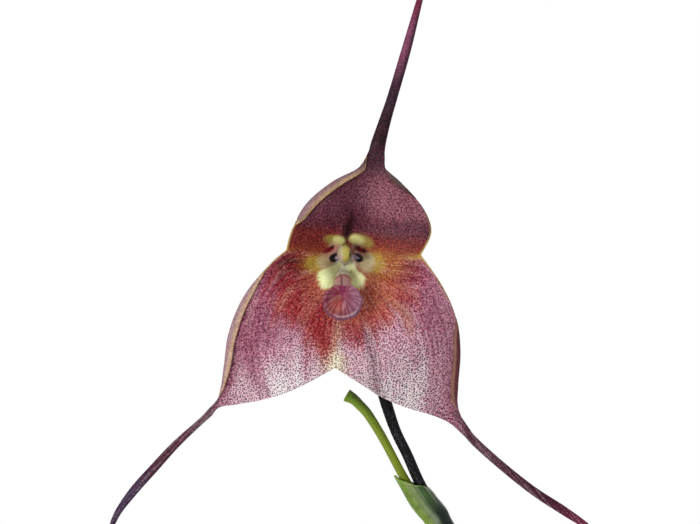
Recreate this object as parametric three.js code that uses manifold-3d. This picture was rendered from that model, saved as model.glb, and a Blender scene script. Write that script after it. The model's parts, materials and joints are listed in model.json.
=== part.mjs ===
// A potted Dracula gigas orchid: a clay pot of bark, a tuft of keeled leaves, and one long-tailed bloom
// on an arching stalk. Millimetres, +Z up, the bloom faces -Y. The origin is the middle of the pot's foot.
import * as THREE from "three";
import { mergeVertices } from "three/addons/utils/BufferGeometryUtils.js";
import Module from "manifold-3d";

const wasm = await Module();
wasm.setup();

// Driving dimensions
const GAP = 0.3; // between pieces that touch on the real plant
const POT = { height: 122, rimR: 70, collar: 27, collarStep: 3.5, footR: 48, wall: 6, floor: 8, bevel: 2 };
const POT_SIDES = 44;
const DRAIN = { count: 3, radius: 5, ring: 25 };
const BARK = { edgeZ: 103, crownZ: 108, chips: 42, long: [11, 19], thick: [3.5, 6], tilt: 0.4, seed: 7 };
const MOUND = { radius: 27, topZ: 111, bottomZ: 97, sides: 20 };
const ROOT = { count: 7, radius: 1.3, reach: [15, 27], seed: 91 };
const TUFT = { footZ: 101, firstAzimuth: 42, seed: 23 };
const LEAF = { stemR: 1.7, stemLong: 46, stalkLong: 46, stalkHalf: 3.4, blade: 36, edge: 0.7, midrib: 1.5 };
const SHEATH = { wall: 0.7, swell: 1.5, from: 12.5, to: 31, slant: 2.5 };
const BLOOM = new THREE.Vector3(-38, -22, 500); // the middle of the flower's face
const SEPAL = { thick: 0.8, curlTurn: THREE.MathUtils.degToRad(155), curlShare: 0.25, columns: 14 };
const LIP = {
  x: -0.8,
  z: -12.4,
  y: -3.6,
  across: 5.65,
  up: 5.15,
  spokes: 36,
  mouth: 0.45,
  bowl: 2.2,
  rim: 0.7,
  rib: 0.3,
  tilt: 1.6,
  thick: 1,
};

const LOOKS = {
  clay: [0xb3623f, 0.85],
  bark: [0x6d4a33, 0.95],
  root: [0x8a7a5e, 0.85],
  leaf: [0x3f6b2a, 0.4],
  sheath: [0x2d221d, 0.8],
  stalk: [0x4a5a33, 0.6],
  bract: [0x7b8f55, 0.65],
  darkStalk: [0x2c2a2c, 0.8],
  greenStalk: [0x6f8a3a, 0.55],
  sepal: [0xa5657c, 0.55],
  petal: [0xc9a6a0, 0.5],
  column: [0xa58f6a, 0.45],
  lip: [0xb98292, 0.55],
};

// Numbers and shapes

// The same draw of numbers on every run.
function randomFrom(seed) {
  let state = seed;
  return (low, high) => {
    state = (state * 48271) % 2147483647;
    return low + ((high - low) * state) / 2147483647;
  };
}

function mix(a, b, t) {
  return a + (b - a) * t;
}

function smooth(low, high, value) {
  const t = Math.min(1, Math.max(0, (value - low) / (high - low)));
  return t * t * (3 - 2 * t);
}

// A round hill over the bloom's face, one at its middle.
function knoll(x, z, middleX, middleZ, reachX, reachZ) {
  return Math.exp(-(((x - middleX) / reachX) ** 2) - ((z - middleZ) / reachZ) ** 2);
}

// A Catmull-Rom reading of a list of numbers, or of rows of numbers, at a place counted in rows.
function along(rows, place) {
  const last = rows.length - 1;
  const i = Math.min(last - 1, Math.max(0, Math.floor(place)));
  const t = Math.min(1, Math.max(0, place - i));
  const [a, b, c, d] = [rows[Math.max(0, i - 1)], rows[i], rows[i + 1], rows[Math.min(last, i + 2)]];
  const read = (p, q, r, s) =>
    0.5 * (2 * q + (r - p) * t + (2 * p - 5 * q + 4 * r - s) * t * t + (3 * q - p - 3 * r + s) * t ** 3);
  return Array.isArray(b) ? b.map((_, k) => read(a[k], b[k], c[k], d[k])) : read(a, b, c, d);
}

function geometryOf(points, triangles) {
  const geometry = new THREE.BufferGeometry();
  const numbers = points.flatMap((p) => [p.x, p.y, p.z]);
  geometry.setAttribute("position", new THREE.Float32BufferAttribute(numbers, 3));
  geometry.setIndex(triangles);
  return geometry;
}

// A ring of points round a middle, on two axes of its own.
function ringAround(middle, sides, axisA, reachA, axisB, reachB, start = 0) {
  return Array.from({ length: sides }, (_, i) => {
    const a = (2 * Math.PI * (i + start)) / sides;
    return middle
      .clone()
      .addScaledVector(axisA, Math.cos(a) * reachA)
      .addScaledVector(axisB, Math.sin(a) * reachB);
  });
}

// A closed skin over rings of equal count. It ends in flat caps, or joins its last ring to its first.
function loft(rings, joined = false) {
  const count = rings[0].length;
  const points = rings.flat();
  const triangles = [];
  for (let r = 0; r < (joined ? rings.length : rings.length - 1); r++) {
    const a = r * count;
    const b = ((r + 1) % rings.length) * count;
    for (let i = 0; i < count; i++) {
      const j = (i + 1) % count;
      triangles.push(a + i, a + j, b + j, a + i, b + j, b + i);
    }
  }
  const caps = joined ? [] : [[0, true], [rings.length - 1, false]];
  for (const [ring, turned] of caps) {
    const middle = rings[ring].reduce((sum, p) => sum.add(p), new THREE.Vector3()).divideScalar(count);
    points.push(middle);
    for (let i = 0; i < count; i++) {
      const [p, q] = [ring * count + i, ring * count + ((i + 1) % count)];
      triangles.push(points.length - 1, turned ? q : p, turned ? p : q);
    }
  }
  return geometryOf(points, triangles);
}

function lathe(profile) {
  const points = profile.map(([r, z]) => new THREE.Vector2(r, z));
  return toSolid(new THREE.LatheGeometry(points, POT_SIDES).rotateX(Math.PI / 2));
}

function insideOut(geometry) {
  const index = geometry.index.array;
  for (let i = 0; i < index.length; i += 3) [index[i + 1], index[i + 2]] = [index[i + 2], index[i + 1]];
  return geometry;
}

// A geometry welded into one closed solid that faces outwards.
function toSolid(geometry) {
  const bare = geometry.clone();
  bare.deleteAttribute("normal");
  bare.deleteAttribute("uv");
  const welded = mergeVertices(bare, 1e-4);
  const solid = new wasm.Manifold(
    new wasm.Mesh({
      numProp: 3,
      vertProperties: new Float32Array(welded.attributes.position.array),
      triVerts: new Uint32Array(welded.index.array),
    }),
  );
  return solid.volume() < 0 ? toSolid(insideOut(welded)) : solid;
}

function toGeometry(solid) {
  const mesh = solid.getMesh();
  const geometry = new THREE.BufferGeometry();
  geometry.setAttribute("position", new THREE.BufferAttribute(mesh.vertProperties, mesh.numProp));
  geometry.setIndex(new THREE.BufferAttribute(mesh.triVerts, 1));
  return geometry;
}

const plant = new THREE.Group();

// Adds one piece, keeping its largest body where a cut left loose scraps.
function addPiece(name, solid, [color, roughness]) {
  const body = solid.decompose().reduce((a, b) => (b.volume() > a.volume() ? b : a));
  const mesh = new THREE.Mesh(toGeometry(body), new THREE.MeshStandardMaterial({ color, roughness }));
  mesh.name = name;
  plant.add(mesh);
}

// Rings of a round stem along a path of [x, y, z, radius] rows.
function stemRings(rows, sides, steps, grow = 0) {
  const reach = 0.02; // how far before and after a place its direction is read
  let side = new THREE.Vector3(1, 0, 0);
  return Array.from({ length: steps + 1 }, (_, k) => {
    const place = ((rows.length - 1) * k) / steps;
    const [x, y, z, radius] = along(rows, place);
    const before = new THREE.Vector3(...along(rows, place - reach));
    const way = new THREE.Vector3(...along(rows, place + reach)).sub(before).normalize();
    side = side.clone().addScaledVector(way, -side.dot(way)).normalize();
    const up = new THREE.Vector3().crossVectors(way, side);
    return ringAround(new THREE.Vector3(x, y, z), sides, side, radius + grow, up, radius + grow);
  });
}

// Clay pot

const COLLAR_Z = POT.height - POT.collar;
const RIM_INSIDE = POT.rimR - POT.wall - 2.5; // the inner radius just below the bevel of the rim
const FLOOR_INSIDE = POT.footR - POT.wall;

function potInsideRadius(z) {
  const low = POT.floor + 3;
  return mix(FLOOR_INSIDE, RIM_INSIDE, (z - low) / (POT.height - POT.bevel - low));
}

function makePot() {
  let pot = lathe([
    [0, 0],
    [POT.footR - 2, 0],
    [POT.footR, 2],
    [POT.rimR - POT.collarStep, COLLAR_Z],
    [POT.rimR - 1, COLLAR_Z],
    [POT.rimR, COLLAR_Z + 1.5],
    [POT.rimR, POT.height - POT.bevel],
    [POT.rimR - 1.5, POT.height],
    [RIM_INSIDE + 1, POT.height],
    [RIM_INSIDE, POT.height - POT.bevel],
    [FLOOR_INSIDE, POT.floor + 3],
    [FLOOR_INSIDE - 4, POT.floor],
    [0, POT.floor],
  ]);
  for (let k = 0; k < DRAIN.count; k++) {
    const a = (2 * Math.PI * k) / DRAIN.count + Math.PI / 6;
    const hole = new THREE.CylinderGeometry(DRAIN.radius, DRAIN.radius, 3 * POT.floor, 12);
    hole.rotateX(Math.PI / 2).translate(DRAIN.ring * Math.cos(a), DRAIN.ring * Math.sin(a), 0);
    pot = pot.subtract(toSolid(hole));
  }
  addPiece("clay_pot", pot, LOOKS.clay);
}

// Bark potting mix

// A rough-sawn chip: a box whose corners are pushed about.
function chip(random) {
  const long = random(...BARK.long);
  const box = new THREE.BoxGeometry(long, long * random(0.5, 0.8), random(...BARK.thick));
  box.deleteAttribute("normal");
  box.deleteAttribute("uv");
  const shape = mergeVertices(box);
  const corner = shape.attributes.position;
  for (let i = 0; i < corner.count; i++) {
    const [x, y, z] = [corner.getX(i), corner.getY(i), corner.getZ(i)];
    corner.setXYZ(i, x * random(0.72, 1.08), y * random(0.72, 1.08), z * random(0.7, 1.15));
  }
  return shape
    .rotateX(random(-BARK.tilt, BARK.tilt))
    .rotateY(random(-BARK.tilt, BARK.tilt))
    .rotateZ(random(0, 2 * Math.PI));
}

// Chips on a bed that fills the pot, laid in a sunflower spiral, with a hollow for the rootstock.
function makeBark() {
  const random = randomFrom(BARK.seed);
  const goldenAngle = Math.PI * (3 - Math.sqrt(5));
  const bedZ = BARK.edgeZ - 3;
  const room = (z) => potInsideRadius(z) - GAP;
  let bark = lathe([
    [0, POT.floor + GAP],
    [FLOOR_INSIDE - 4 - GAP, POT.floor + GAP],
    [FLOOR_INSIDE - GAP, POT.floor + 3 + GAP],
    [room(bedZ), bedZ],
    [0, bedZ + 1.5],
  ]);
  for (let k = 0; k < BARK.chips; k++) {
    const r = 54 * ((k + 0.5) / BARK.chips) ** 0.47;
    const z = mix(BARK.crownZ, BARK.edgeZ, (r / 56) ** 2) - random(2, 4.5);
    const a = k * goldenAngle;
    bark = bark.add(toSolid(chip(random).translate(r * Math.cos(a), r * Math.sin(a), z)));
  }
  const insideOfPot = lathe([
    [0, 0],
    [room(0) - 6, 0],
    [room(POT.floor + 3) - 0.1, POT.floor + 3],
    [room(POT.height), POT.height],
    [0, POT.height],
  ]);
  addPiece("bark_mix", bark.intersect(insideOfPot).subtract(rootstockSolid(GAP)), LOOKS.bark);
}

// Rootstock: a lumpy mound, with runs of root that arch over the bark and dive into it

// Larger all round by `grow`, so that the bark can be hollowed to take it.
function mound(grow) {
  const levels = [
    [MOUND.bottomZ - grow, 0.88, 0],
    [103, 1, 0],
    [108.6, 0.86, 0.6],
    [MOUND.topZ + grow, 0.42, 0],
  ];
  const rings = levels.map(([z, width, wave], k) =>
    Array.from({ length: MOUND.sides }, (_, i) => {
      const a = (2 * Math.PI * i) / MOUND.sides;
      const lumps = 1 + 0.05 * Math.cos(5 * a + k) + 0.045 * Math.cos(8 * a - 2 * k);
      const radius = MOUND.radius * width * lumps + grow;
      return new THREE.Vector3(radius * Math.cos(a), radius * Math.sin(a), z + wave * Math.cos(7 * a));
    }),
  );
  return loft(rings);
}

function rootRows(k, grow) {
  const random = randomFrom(ROOT.seed + 37 * k);
  const a = (2 * Math.PI * k) / ROOT.count + random(-0.25, 0.25);
  const bend = random(-0.45, 0.45);
  const reach = random(...ROOT.reach);
  const rise = random(2.5, 5);
  const at = (out, turn, z, radius) => [out * Math.cos(a + turn), out * Math.sin(a + turn), z, radius];
  return [
    at(18, 0, 104, ROOT.radius),
    at(24, 0.05 * bend, 107.5, ROOT.radius),
    at(26 + 0.35 * reach, 0.35 * bend, 106 + rise, ROOT.radius),
    at(26 + 0.8 * reach, 0.75 * bend, 105 + 0.5 * rise, ROOT.radius * 0.95),
    at(26 + reach, bend, 96 - grow, ROOT.radius * 0.9),
  ];
}

function rootstockSolid(grow) {
  let rootstock = toSolid(mound(grow));
  for (let k = 0; k < ROOT.count; k++) {
    rootstock = rootstock.add(toSolid(loft(stemRings(rootRows(k, grow), 6, 7, grow))));
  }
  return rootstock;
}

// A plain hole round the foot of a leaf, open upwards.
function leafHole(leaf) {
  const radius = LEAF.stemR + GAP + 0.05;
  const ring = (height) => {
    const { place, side, face } = leafFrame(leaf, height / leaf.long);
    return ringAround(place, 10, side, radius, face, radius, 0.5);
  };
  const bottom = ring(0).map((p) => p.setZ(p.z - GAP - 0.1));
  return toSolid(loft([bottom, ring(0), ring(13)]));
}

function makeRootstock() {
  const [x, y, z, radius] = SCAPE[0];
  const scapeHole = [[x, y, z - GAP, radius], ...SCAPE.slice(0, 2)];
  let rootstock = rootstockSolid(0).subtract(toSolid(loft(stemRings(scapeHole, 8, 4, GAP + 0.05))));
  for (const leaf of LEAVES) rootstock = rootstock.subtract(leafHole(leaf));
  addPiece("rootstock", rootstock, LOOKS.root);
}

// Leaves: three stand in the middle and eight lean out round them, clear of the flower stalk

function growTuft() {
  const random = randomFrom(TUFT.seed);
  const inner = (_, k) => ({
    ring: 9,
    azimuth: 75 + 120 * k,
    lean: random(4, 6),
    tipLean: random(22, 30),
    long: random(258, 288),
    twist: random(-12, 12),
  });
  const outer = (_, k) => ({
    ring: random(19, 20),
    azimuth: TUFT.firstAzimuth + 44 * k + random(-2, 2),
    lean: random(12, 14),
    tipLean: random(50, 66),
    long: random(224, 270),
    twist: random(-10, 10),
  });
  return [...Array.from({ length: 3 }, inner), ...Array.from({ length: 8 }, outer)];
}

const LEAVES = growTuft();

// The leaf's own line at a share of its length, with its frame: way along, side across, face upwards.
function leafFrame(leaf, share) {
  const azimuth = THREE.MathUtils.degToRad(leaf.azimuth);
  const out = new THREE.Vector3(Math.cos(azimuth), Math.sin(azimuth), 0);
  const steps = 24;
  const step = (leaf.long * share) / steps;
  const leanAt = (s) => THREE.MathUtils.degToRad(leaf.lean + (leaf.tipLean - leaf.lean) * s ** 1.8);
  const place = out.clone().multiplyScalar(leaf.ring).setZ(TUFT.footZ);
  for (let k = 0; k < steps; k++) {
    const lean = leanAt(((k + 0.5) / steps) * share);
    place.addScaledVector(out, Math.sin(lean) * step);
    place.z += Math.cos(lean) * step;
  }
  const way = out.clone().multiplyScalar(Math.sin(leanAt(share))).setZ(Math.cos(leanAt(share)));
  const twist = THREE.MathUtils.degToRad(leaf.twist) * share;
  const side = new THREE.Vector3(-out.y, out.x, 0).applyAxisAngle(way, twist);
  return { place, way, side, face: new THREE.Vector3().crossVectors(side, way) };
}

// At a distance from the foot: half width, fold of the two halves in radians, thickness at the midrib,
// and how far the round stem has opened into a blade.
function leafSection(leaf, distance) {
  const bladeStart = LEAF.stemLong + LEAF.stalkLong;
  const t = Math.max(0, (distance - bladeStart) / (leaf.long - bladeStart));
  const swell = Math.sin(Math.PI * Math.min(1, t) ** 1.25) ** 0.8;
  const widest = (LEAF.blade / 2 - LEAF.stalkHalf) * (leaf.long / 270);
  const stalk = mix(LEAF.stemR, LEAF.stalkHalf, smooth(LEAF.stemLong * 0.8, bladeStart, distance));
  return {
    half: mix(stalk, 0.5, smooth(0.75, 1, t)) + widest * swell,
    fold: mix(1.02, 0.2, smooth(bladeStart * 0.75, bladeStart + 60, distance)),
    rib: mix(LEAF.midrib, 0.8, smooth(0.1, 1, t)),
    open: smooth(LEAF.stemLong * 0.7, bladeStart * 0.8, distance),
  };
}

// Ten points: the upper face from margin to margin, then the lower face back.
function leafRing(leaf, share) {
  const { place, side, face } = leafFrame(leaf, share);
  const { half, fold, rib, open } = leafSection(leaf, share * leaf.long);
  const point = (j, sign) => {
    const q = j / 2 - 1; // -1 and 1 at the margins
    const a = Math.PI * (1 - (j + 0.5) / 5);
    const thick = mix(LEAF.edge, rib, (1 - Math.abs(q)) ** 2) / 2;
    const blade = new THREE.Vector3()
      .addScaledVector(side, half * q * Math.cos(fold))
      .addScaledVector(face, half * Math.sin(fold) * (Math.hypot(q, 0.18) - 0.45) + thick * sign);
    const stem = new THREE.Vector3()
      .addScaledVector(side, LEAF.stemR * Math.cos(a))
      .addScaledVector(face, LEAF.stemR * Math.sin(a) * sign);
    return place.clone().add(stem.lerp(blade, open));
  };
  return [...[0, 1, 2, 3, 4].map((j) => point(j, 1)), ...[4, 3, 2, 1, 0].map((j) => point(j, -1))];
}

function makeLeaf(leaf, name) {
  const stations = 14;
  const shares = Array.from({ length: stations + 1 }, (_, k) => (0.985 * k) / stations);
  addPiece(name, toSolid(loft(shares.map((share) => leafRing(leaf, share)))), LOOKS.leaf);
}

// The dark papery sheath round the foot of a leaf
function makeSheath(leaf, name) {
  const sides = 8;
  const wall = (height, radius, slant = 0) =>
    Array.from({ length: sides }, (_, i) => {
      const a = (2 * Math.PI * i) / sides;
      const { place, side, face } = leafFrame(leaf, (height + slant * (1 - Math.cos(a))) / leaf.long);
      return place.addScaledVector(side, Math.sin(a) * radius).addScaledVector(face, Math.cos(a) * radius);
    });
  const inner = LEAF.stemR + GAP;
  const middle = mix(SHEATH.from, SHEATH.to, 0.45);
  const rings = [
    wall(SHEATH.from, inner),
    wall(SHEATH.from, inner + SHEATH.swell),
    wall(middle, inner + SHEATH.swell * 0.7),
    wall(SHEATH.to, inner + SHEATH.wall, SHEATH.slant),
    wall(SHEATH.to, inner, SHEATH.slant),
    wall(middle, inner),
  ];
  addPiece(name, toSolid(loft(rings, true)), LOOKS.sheath);
}

// Scape, the flower stalk: rows of x, y, z, radius. Its last row is the swollen joint inside the floral
// bract.

const SCAPE = [
  [17, 5, 102, 2.1],
  [19, 6, 170, 2.0],
  [21, 6, 240, 1.95],
  [21, 3, 308, 1.9],
  [15.5, -4, 362, 1.9],
  [5, -12, 400, 1.9],
  [-5.5, -17, 415.5, 1.95],
  [-12.5, -19, 426, 2.3],
];

// The bracts that clasp it: where each starts and ends in rows, and which way its tip points.
const SCAPE_BRACTS = {
  scape_bract_lower: { from: 0.55, to: 0.9, tip: 1 },
  scape_bract_middle: { from: 1.75, to: 2.08, tip: 4 },
  scape_bract_upper: { from: 3.1, to: 3.42, tip: 2 },
};

function makeScapeBract(name, { from, to, tip }) {
  const sides = 10;
  const slant = 0.05;
  const wall = (place, grow, slope = 0) =>
    Array.from({ length: sides }, (_, i) => {
      const a = (2 * Math.PI * i) / sides;
      const lifted = place + slope * Math.cos(a - tip);
      const here = new THREE.Vector3(...along(SCAPE, lifted));
      const way = new THREE.Vector3(...along(SCAPE, lifted + 0.02)).sub(here).normalize();
      const side = new THREE.Vector3(1, 0, 0).addScaledVector(way, -way.x).normalize();
      const up = new THREE.Vector3().crossVectors(way, side);
      const reach = along(SCAPE, place)[3] + grow;
      return here.addScaledVector(side, Math.cos(a) * reach).addScaledVector(up, Math.sin(a) * reach);
    });
  const middle = mix(from, to, 0.5);
  const rings = [
    wall(from, 0.45),
    wall(from, 1.2),
    wall(middle, 1.8),
    wall(to, 1.6, slant),
    wall(to, 0.9, slant),
    wall(middle, 1.15),
  ];
  addPiece(name, toSolid(loft(rings, true)), LOOKS.bract);
}

// Bloom: places in its own frame are x to the right, z up, and depth y that grows away from the viewer

function onBloom(x, z, y) {
  return new THREE.Vector3(BLOOM.x + x, BLOOM.y + y, BLOOM.z + z);
}

// Rows of [x, z, y, radius] in the bloom's frame turned into the plant's [x, y, z, radius].
function bloomRows(rows) {
  return rows.map(([x, z, y, radius]) => [...onBloom(x, z, y), radius]);
}

const SINUS_LEFT = [-16.5, 1.9];
const SINUS_RIGHT = [21, 0.3];
const NOTCH = [-3, -30.5];
const THROAT = [0, 0];

// The sepals: two margins of [x, z] from the sinus or notch to the tail's root, seen from the front,
// how far each margin rolls forward, and the tail's line as [x, z, y, half width].
const DORSAL = {
  left: [SINUS_LEFT, [-15.1, 6.8], [-11.5, 13.5], [-4.1, 19.4], [3, 23], [5.4, 26.8]],
  right: [SINUS_RIGHT, [23.5, 6.4], [21.1, 13], [15.4, 19], [11.3, 22.9], [10.4, 26.6]],
  leftCurl: [0, 1.2, 4.5, 5.2, 3.4, 1, 0],
  rightCurl: [0, 0.4, 0.7, 1.4, 1.2, 0.6, 0],
  tail: [
    [8.8, 30.3, 0, 2],
    [10.6, 36.5, 0.6, 1.6],
    [12.6, 42.9, 1.2, 1.4],
    [16.4, 55.9, 3, 1.3],
    [19.9, 68.9, 6, 0.9],
    [22.9, 80, 9.5, 0.65],
    [25.6, 91, 14, 0.4],
  ],
};

const LATERAL_LEFT = {
  left: [NOTCH, [-8.6, -33.6], [-15.4, -36.9], [-22.5, -39.1], [-29.5, -40.4], [-34.2, -41.2]],
  right: [SINUS_LEFT, [-22.2, -4.7], [-28.1, -11.9], [-31.3, -20.5], [-32.5, -29.5], [-33.9, -37.4]],
  leftCurl: [0, 0, 0, 0, 0, 0, 0],
  rightCurl: [0, 1.3, 2.2, 3.3, 3.2, 1, 0],
  tail: [
    [-37, -42.8, 0, 0.95],
    [-39.6, -45.1, 0.2, 0.85],
    [-46, -51, 1, 1.05],
    [-52, -57.5, 2, 1.2],
    [-57.8, -64, 3.2, 1.2],
    [-62.6, -71, 5, 0.85],
    [-66, -79.5, 7.5, 0.45],
  ],
};

const LATERAL_RIGHT = {
  left: [SINUS_RIGHT, [26, -8], [29.6, -16.4], [30.7, -25.2], [30.1, -34.2], [30.2, -41.2]],
  right: [NOTCH, [3.2, -34.4], [9.6, -38.4], [16.2, -41.2], [22.6, -43.1], [27.6, -45.2]],
  leftCurl: [0, 0.5, 0.8, 2.2, 2.4, 0.8, 0],
  rightCurl: [0, 0, 0, 0, 0, 0, 0],
  tail: [
    [32.6, -47.9, 0, 1.25],
    [35.4, -51, 0.2, 1.05],
    [42.7, -57.5, 1, 1],
    [50.9, -64, 2.2, 1.05],
    [59.2, -69.5, 4, 1.1],
    [67, -75, 6.4, 0.8],
    [73.5, -81.5, 9, 0.45],
  ],
};

const BODY_ROWS = 6; // margin rows before the tail's root

// Adds the tail's two edges to the margins.
function withTail(sepal) {
  const [left, right] = [[...sepal.left], [...sepal.right]];
  sepal.tail.forEach(([x, z, , half], k) => {
    const before = sepal.tail[Math.max(0, k - 1)];
    const after = sepal.tail[Math.min(sepal.tail.length - 1, k + 1)];
    const [dx, dz] = [after[0] - before[0], after[1] - before[1]];
    const share = half / Math.hypot(dx, dz);
    left.push([x - dz * share, z + dx * share]);
    right.push([x + dz * share, z - dx * share]);
  });
  return { ...sepal, left, right };
}

// How far each place of the face lies behind its plane: the cup with its two pads, the dorsal's pair of
// lobes with a crease below and a groove between them, its hooded left side, and the two swollen laterals.
function faceDepth(x, z) {
  const cup = 8.7 * knoll(x, z, 0, -1, 11.5, 9);
  const pads = 2.6 * (knoll(x, z, -5, -5.4, 2.8, 4) + knoll(x, z, 4.6, -5.2, 2.8, 4));
  const lobes = 2.6 * (knoll(x, z, -6, 15, 7, 5.5) + knoll(x, z, 11.5, 15, 7.5, 6));
  const crease = 1.2 * knoll(x, z, 2, 8, 15, 2.4);
  const groove = 1.4 * knoll(x, z, 2, 10, 1.6, 6);
  const hood = 1.6 * knoll(x, z, -9, 14, 6, 8);
  const swell = 2.6 * (knoll(x, z, -18, -22, 12, 13) + knoll(x, z, 17, -24, 12, 14));
  return 0.6 + cup - pads - lobes + crease + groove + hood - swell;
}

const CUP_FLOOR = faceDepth(...THROAT); // how deep the throat lies

// The line that a sepal starts from: sinus or notch, throat, sinus or notch.
function seam(sepal, v) {
  const [from, to, t] = v < 0.5 ? [sepal.left[0], THROAT, 2 * v] : [THROAT, sepal.right[0], 2 * v - 1];
  return from.map((value, k) => mix(value, to[k], t));
}

// Where a place v across a sepal lies: its distance from the left margin, and how far its roll lifts it.
function rollPlace(v, width, curls) {
  const rims = curls.map((curl) => (curl > 0 ? curl + SEPAL.thick : 0));
  const between = (v - SEPAL.curlShare) / (1 - 2 * SEPAL.curlShare);
  if (between >= 0 && between <= 1) return { across: mix(rims[0], width - rims[1], between), lift: 0 };
  const edge = between < 0 ? 0 : 1;
  const turn = SEPAL.curlTurn * (1 - (edge ? 1 - v : v) / SEPAL.curlShare);
  const inward = rims[edge] - curls[edge] * Math.sin(turn);
  return { across: edge ? width - inward : inward, lift: curls[edge] * (1 - Math.cos(turn)) };
}

// A point of the face of a sepal: u counts margin rows, v runs from the left margin to the right.
function sepalPoint(sepal, u, v) {
  const [left, right] = [along(sepal.left, u), along(sepal.right, u)];
  const tailShare = smooth(BODY_ROWS - 1, BODY_ROWS, u);
  const rolled = smooth(0, 1, u) * (1 - tailShare);
  const bodyPlace = Math.min(u, BODY_ROWS);
  const curls = [sepal.leftCurl, sepal.rightCurl].map((rows) => Math.max(0, along(rows, bodyPlace)));
  const width = Math.hypot(right[0] - left[0], right[1] - left[1]);
  const { across, lift } = rollPlace(v, width, curls);
  const share = Math.max(...curls) > 0 ? mix(v, across / width, rolled) : v;
  const fade = Math.max(0, 1 - u / 4) ** 2;
  const start = seam(sepal, v);
  const [x, z] = left.map((value, k) => {
    const bend = start[k] - mix(sepal.left[0][k], sepal.right[0][k], v);
    return mix(value, right[k], share) + fade * bend;
  });
  const tailLine = along(sepal.tail, u - BODY_ROWS)[2];
  const tailRound = 0.225 * width * Math.sin(Math.PI * v);
  return onBloom(x, z, mix(faceDepth(x, z) - lift * rolled, tailLine - tailRound, tailShare));
}

// Even over the body, and thicker along the middle of the tail than at its edges.
function sepalThickness(sepal, u, v) {
  const half = along(sepal.tail, u - BODY_ROWS)[3];
  const tail = 0.6 + 1.1 * half * Math.sin(Math.PI * v);
  return mix(SEPAL.thick, tail, smooth(BODY_ROWS - 1, BODY_ROWS, u));
}

// A closed sheet: the face, a back laid behind it along the normals, and walls round its open edges.
function thicken(points, faces, thickness) {
  const skin = geometryOf(points, faces.flat());
  skin.computeVertexNormals();
  const back = points.map((p, i) => {
    const normal = new THREE.Vector3().fromBufferAttribute(skin.attributes.normal, i);
    return p.clone().addScaledVector(normal, -thickness[i]);
  });
  const edges = new Map();
  for (const [a, b, c] of faces) {
    for (const edge of [[a, b], [b, c], [c, a]]) edges.set(edge.join(), edge);
  }
  const open = [...edges.values()].filter(([p, q]) => !edges.has([q, p].join()));
  const n = points.length;
  const behind = faces.flatMap(([a, b, c]) => [a + n, c + n, b + n]);
  const walls = open.flatMap(([p, q]) => [q, p, p + n, q, p + n, q + n]);
  return geometryOf([...points, ...back], [...faces.flat(), ...behind, ...walls]);
}

// The three sepals are one skin: they share their seams, and end in three tails.
function makeSepals() {
  const points = [];
  const thickness = [];
  const faces = [];
  const known = new Map();
  const vertex = (sepal, u, v) => {
    const p = sepalPoint(sepal, u, v);
    const key = [...p].map((value) => Math.round(value * 1000)).join();
    if (!known.has(key)) {
      known.set(key, points.length);
      points.push(p);
      thickness.push(sepalThickness(sepal, u, v));
    }
    return known.get(key);
  };
  for (const sepal of [DORSAL, LATERAL_LEFT, LATERAL_RIGHT].map(withTail)) {
    const rows = [];
    for (let u = 0; u < sepal.left.length; u += u < BODY_ROWS ? 0.5 : 1) {
      rows.push(Array.from({ length: SEPAL.columns + 1 }, (_, i) => vertex(sepal, u, i / SEPAL.columns)));
    }
    for (let r = 0; r + 1 < rows.length; r++) {
      for (let c = 0; c < SEPAL.columns; c++) {
        const [a, b, d, e] = [rows[r][c], rows[r][c + 1], rows[r + 1][c], rows[r + 1][c + 1]];
        const cutHere = points[a].distanceTo(points[e]) < points[b].distanceTo(points[d]);
        faces.push(...(cutHere ? [[a, b, e], [a, e, d]] : [[a, b, d], [b, e, d]]));
      }
    }
  }
  const whole = faces.filter(([a, b, c]) => a !== b && b !== c && a !== c);
  addPiece("sepals", toSolid(thicken(points, whole, thickness)), LOOKS.sepal);
}

// Stalks behind the bloom, in the bloom's frame as [x, z, y, radius]

const PEDICEL = [
  [25.9, -72.8, 2.9, 0.95],
  [23.9, -69.2, 2.6, 1.05],
  [22.1, -65.5, 2.5, 1.15],
  [19.45, -60.7, 2.8, 1.3],
  [16.65, -54.3, 3.5, 1.3],
  [13.6, -47.8, 4.2, 1.3],
  [11.2, -40.5, 6.2, 1.35],
  [8.6, -31, 10.4, 1.55],
  [6, -21.5, 14.8, 1.7],
  [3.8, -13.5, 18, 2.1],
  [1.8, -6.6, 18.9, 2.5],
  [0.5, -1.6, 16.6, 2.5],
  [0, 0, 13, 2.3],
  [0, 0.3, CUP_FLOOR + SEPAL.thick + 0.4, 1.9],
];

// Left by an earlier bloom, cut off at its own joint
const OLD_STALK = [
  [24.3, -74.1, 3.4, 0.95],
  [20.2, -67.5, 3.7, 1.05],
  [16, -60.8, 2.7, 1.15],
  [12.5, -54.3, 1, 1.15],
  [9, -47.8, 0, 1.2],
  [5.8, -42.8, -0.8, 1.3],
  [2.7, -39, -1.2, 1.45],
  [0.9, -37.2, -1.4, 1.75],
];

// The pedicel swells into the ovary, where every other point of a ring is drawn in to make six low ribs.
function makePedicel() {
  const steps = 24;
  const rings = stemRings(bloomRows(PEDICEL), 12, steps);
  rings.forEach((ring, k) => {
    const middle = ring.reduce((sum, p) => sum.add(p), new THREE.Vector3()).divideScalar(ring.length);
    const ribbed = smooth(15, 17.5, k) * (1 - smooth(steps - 2, steps, k));
    ring.forEach((p, i) => p.lerp(middle, i % 2 ? 0.16 * ribbed : -0.06 * ribbed));
  });
  addPiece("pedicel_and_ovary", toSolid(loft(rings)), LOOKS.darkStalk);
}

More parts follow.
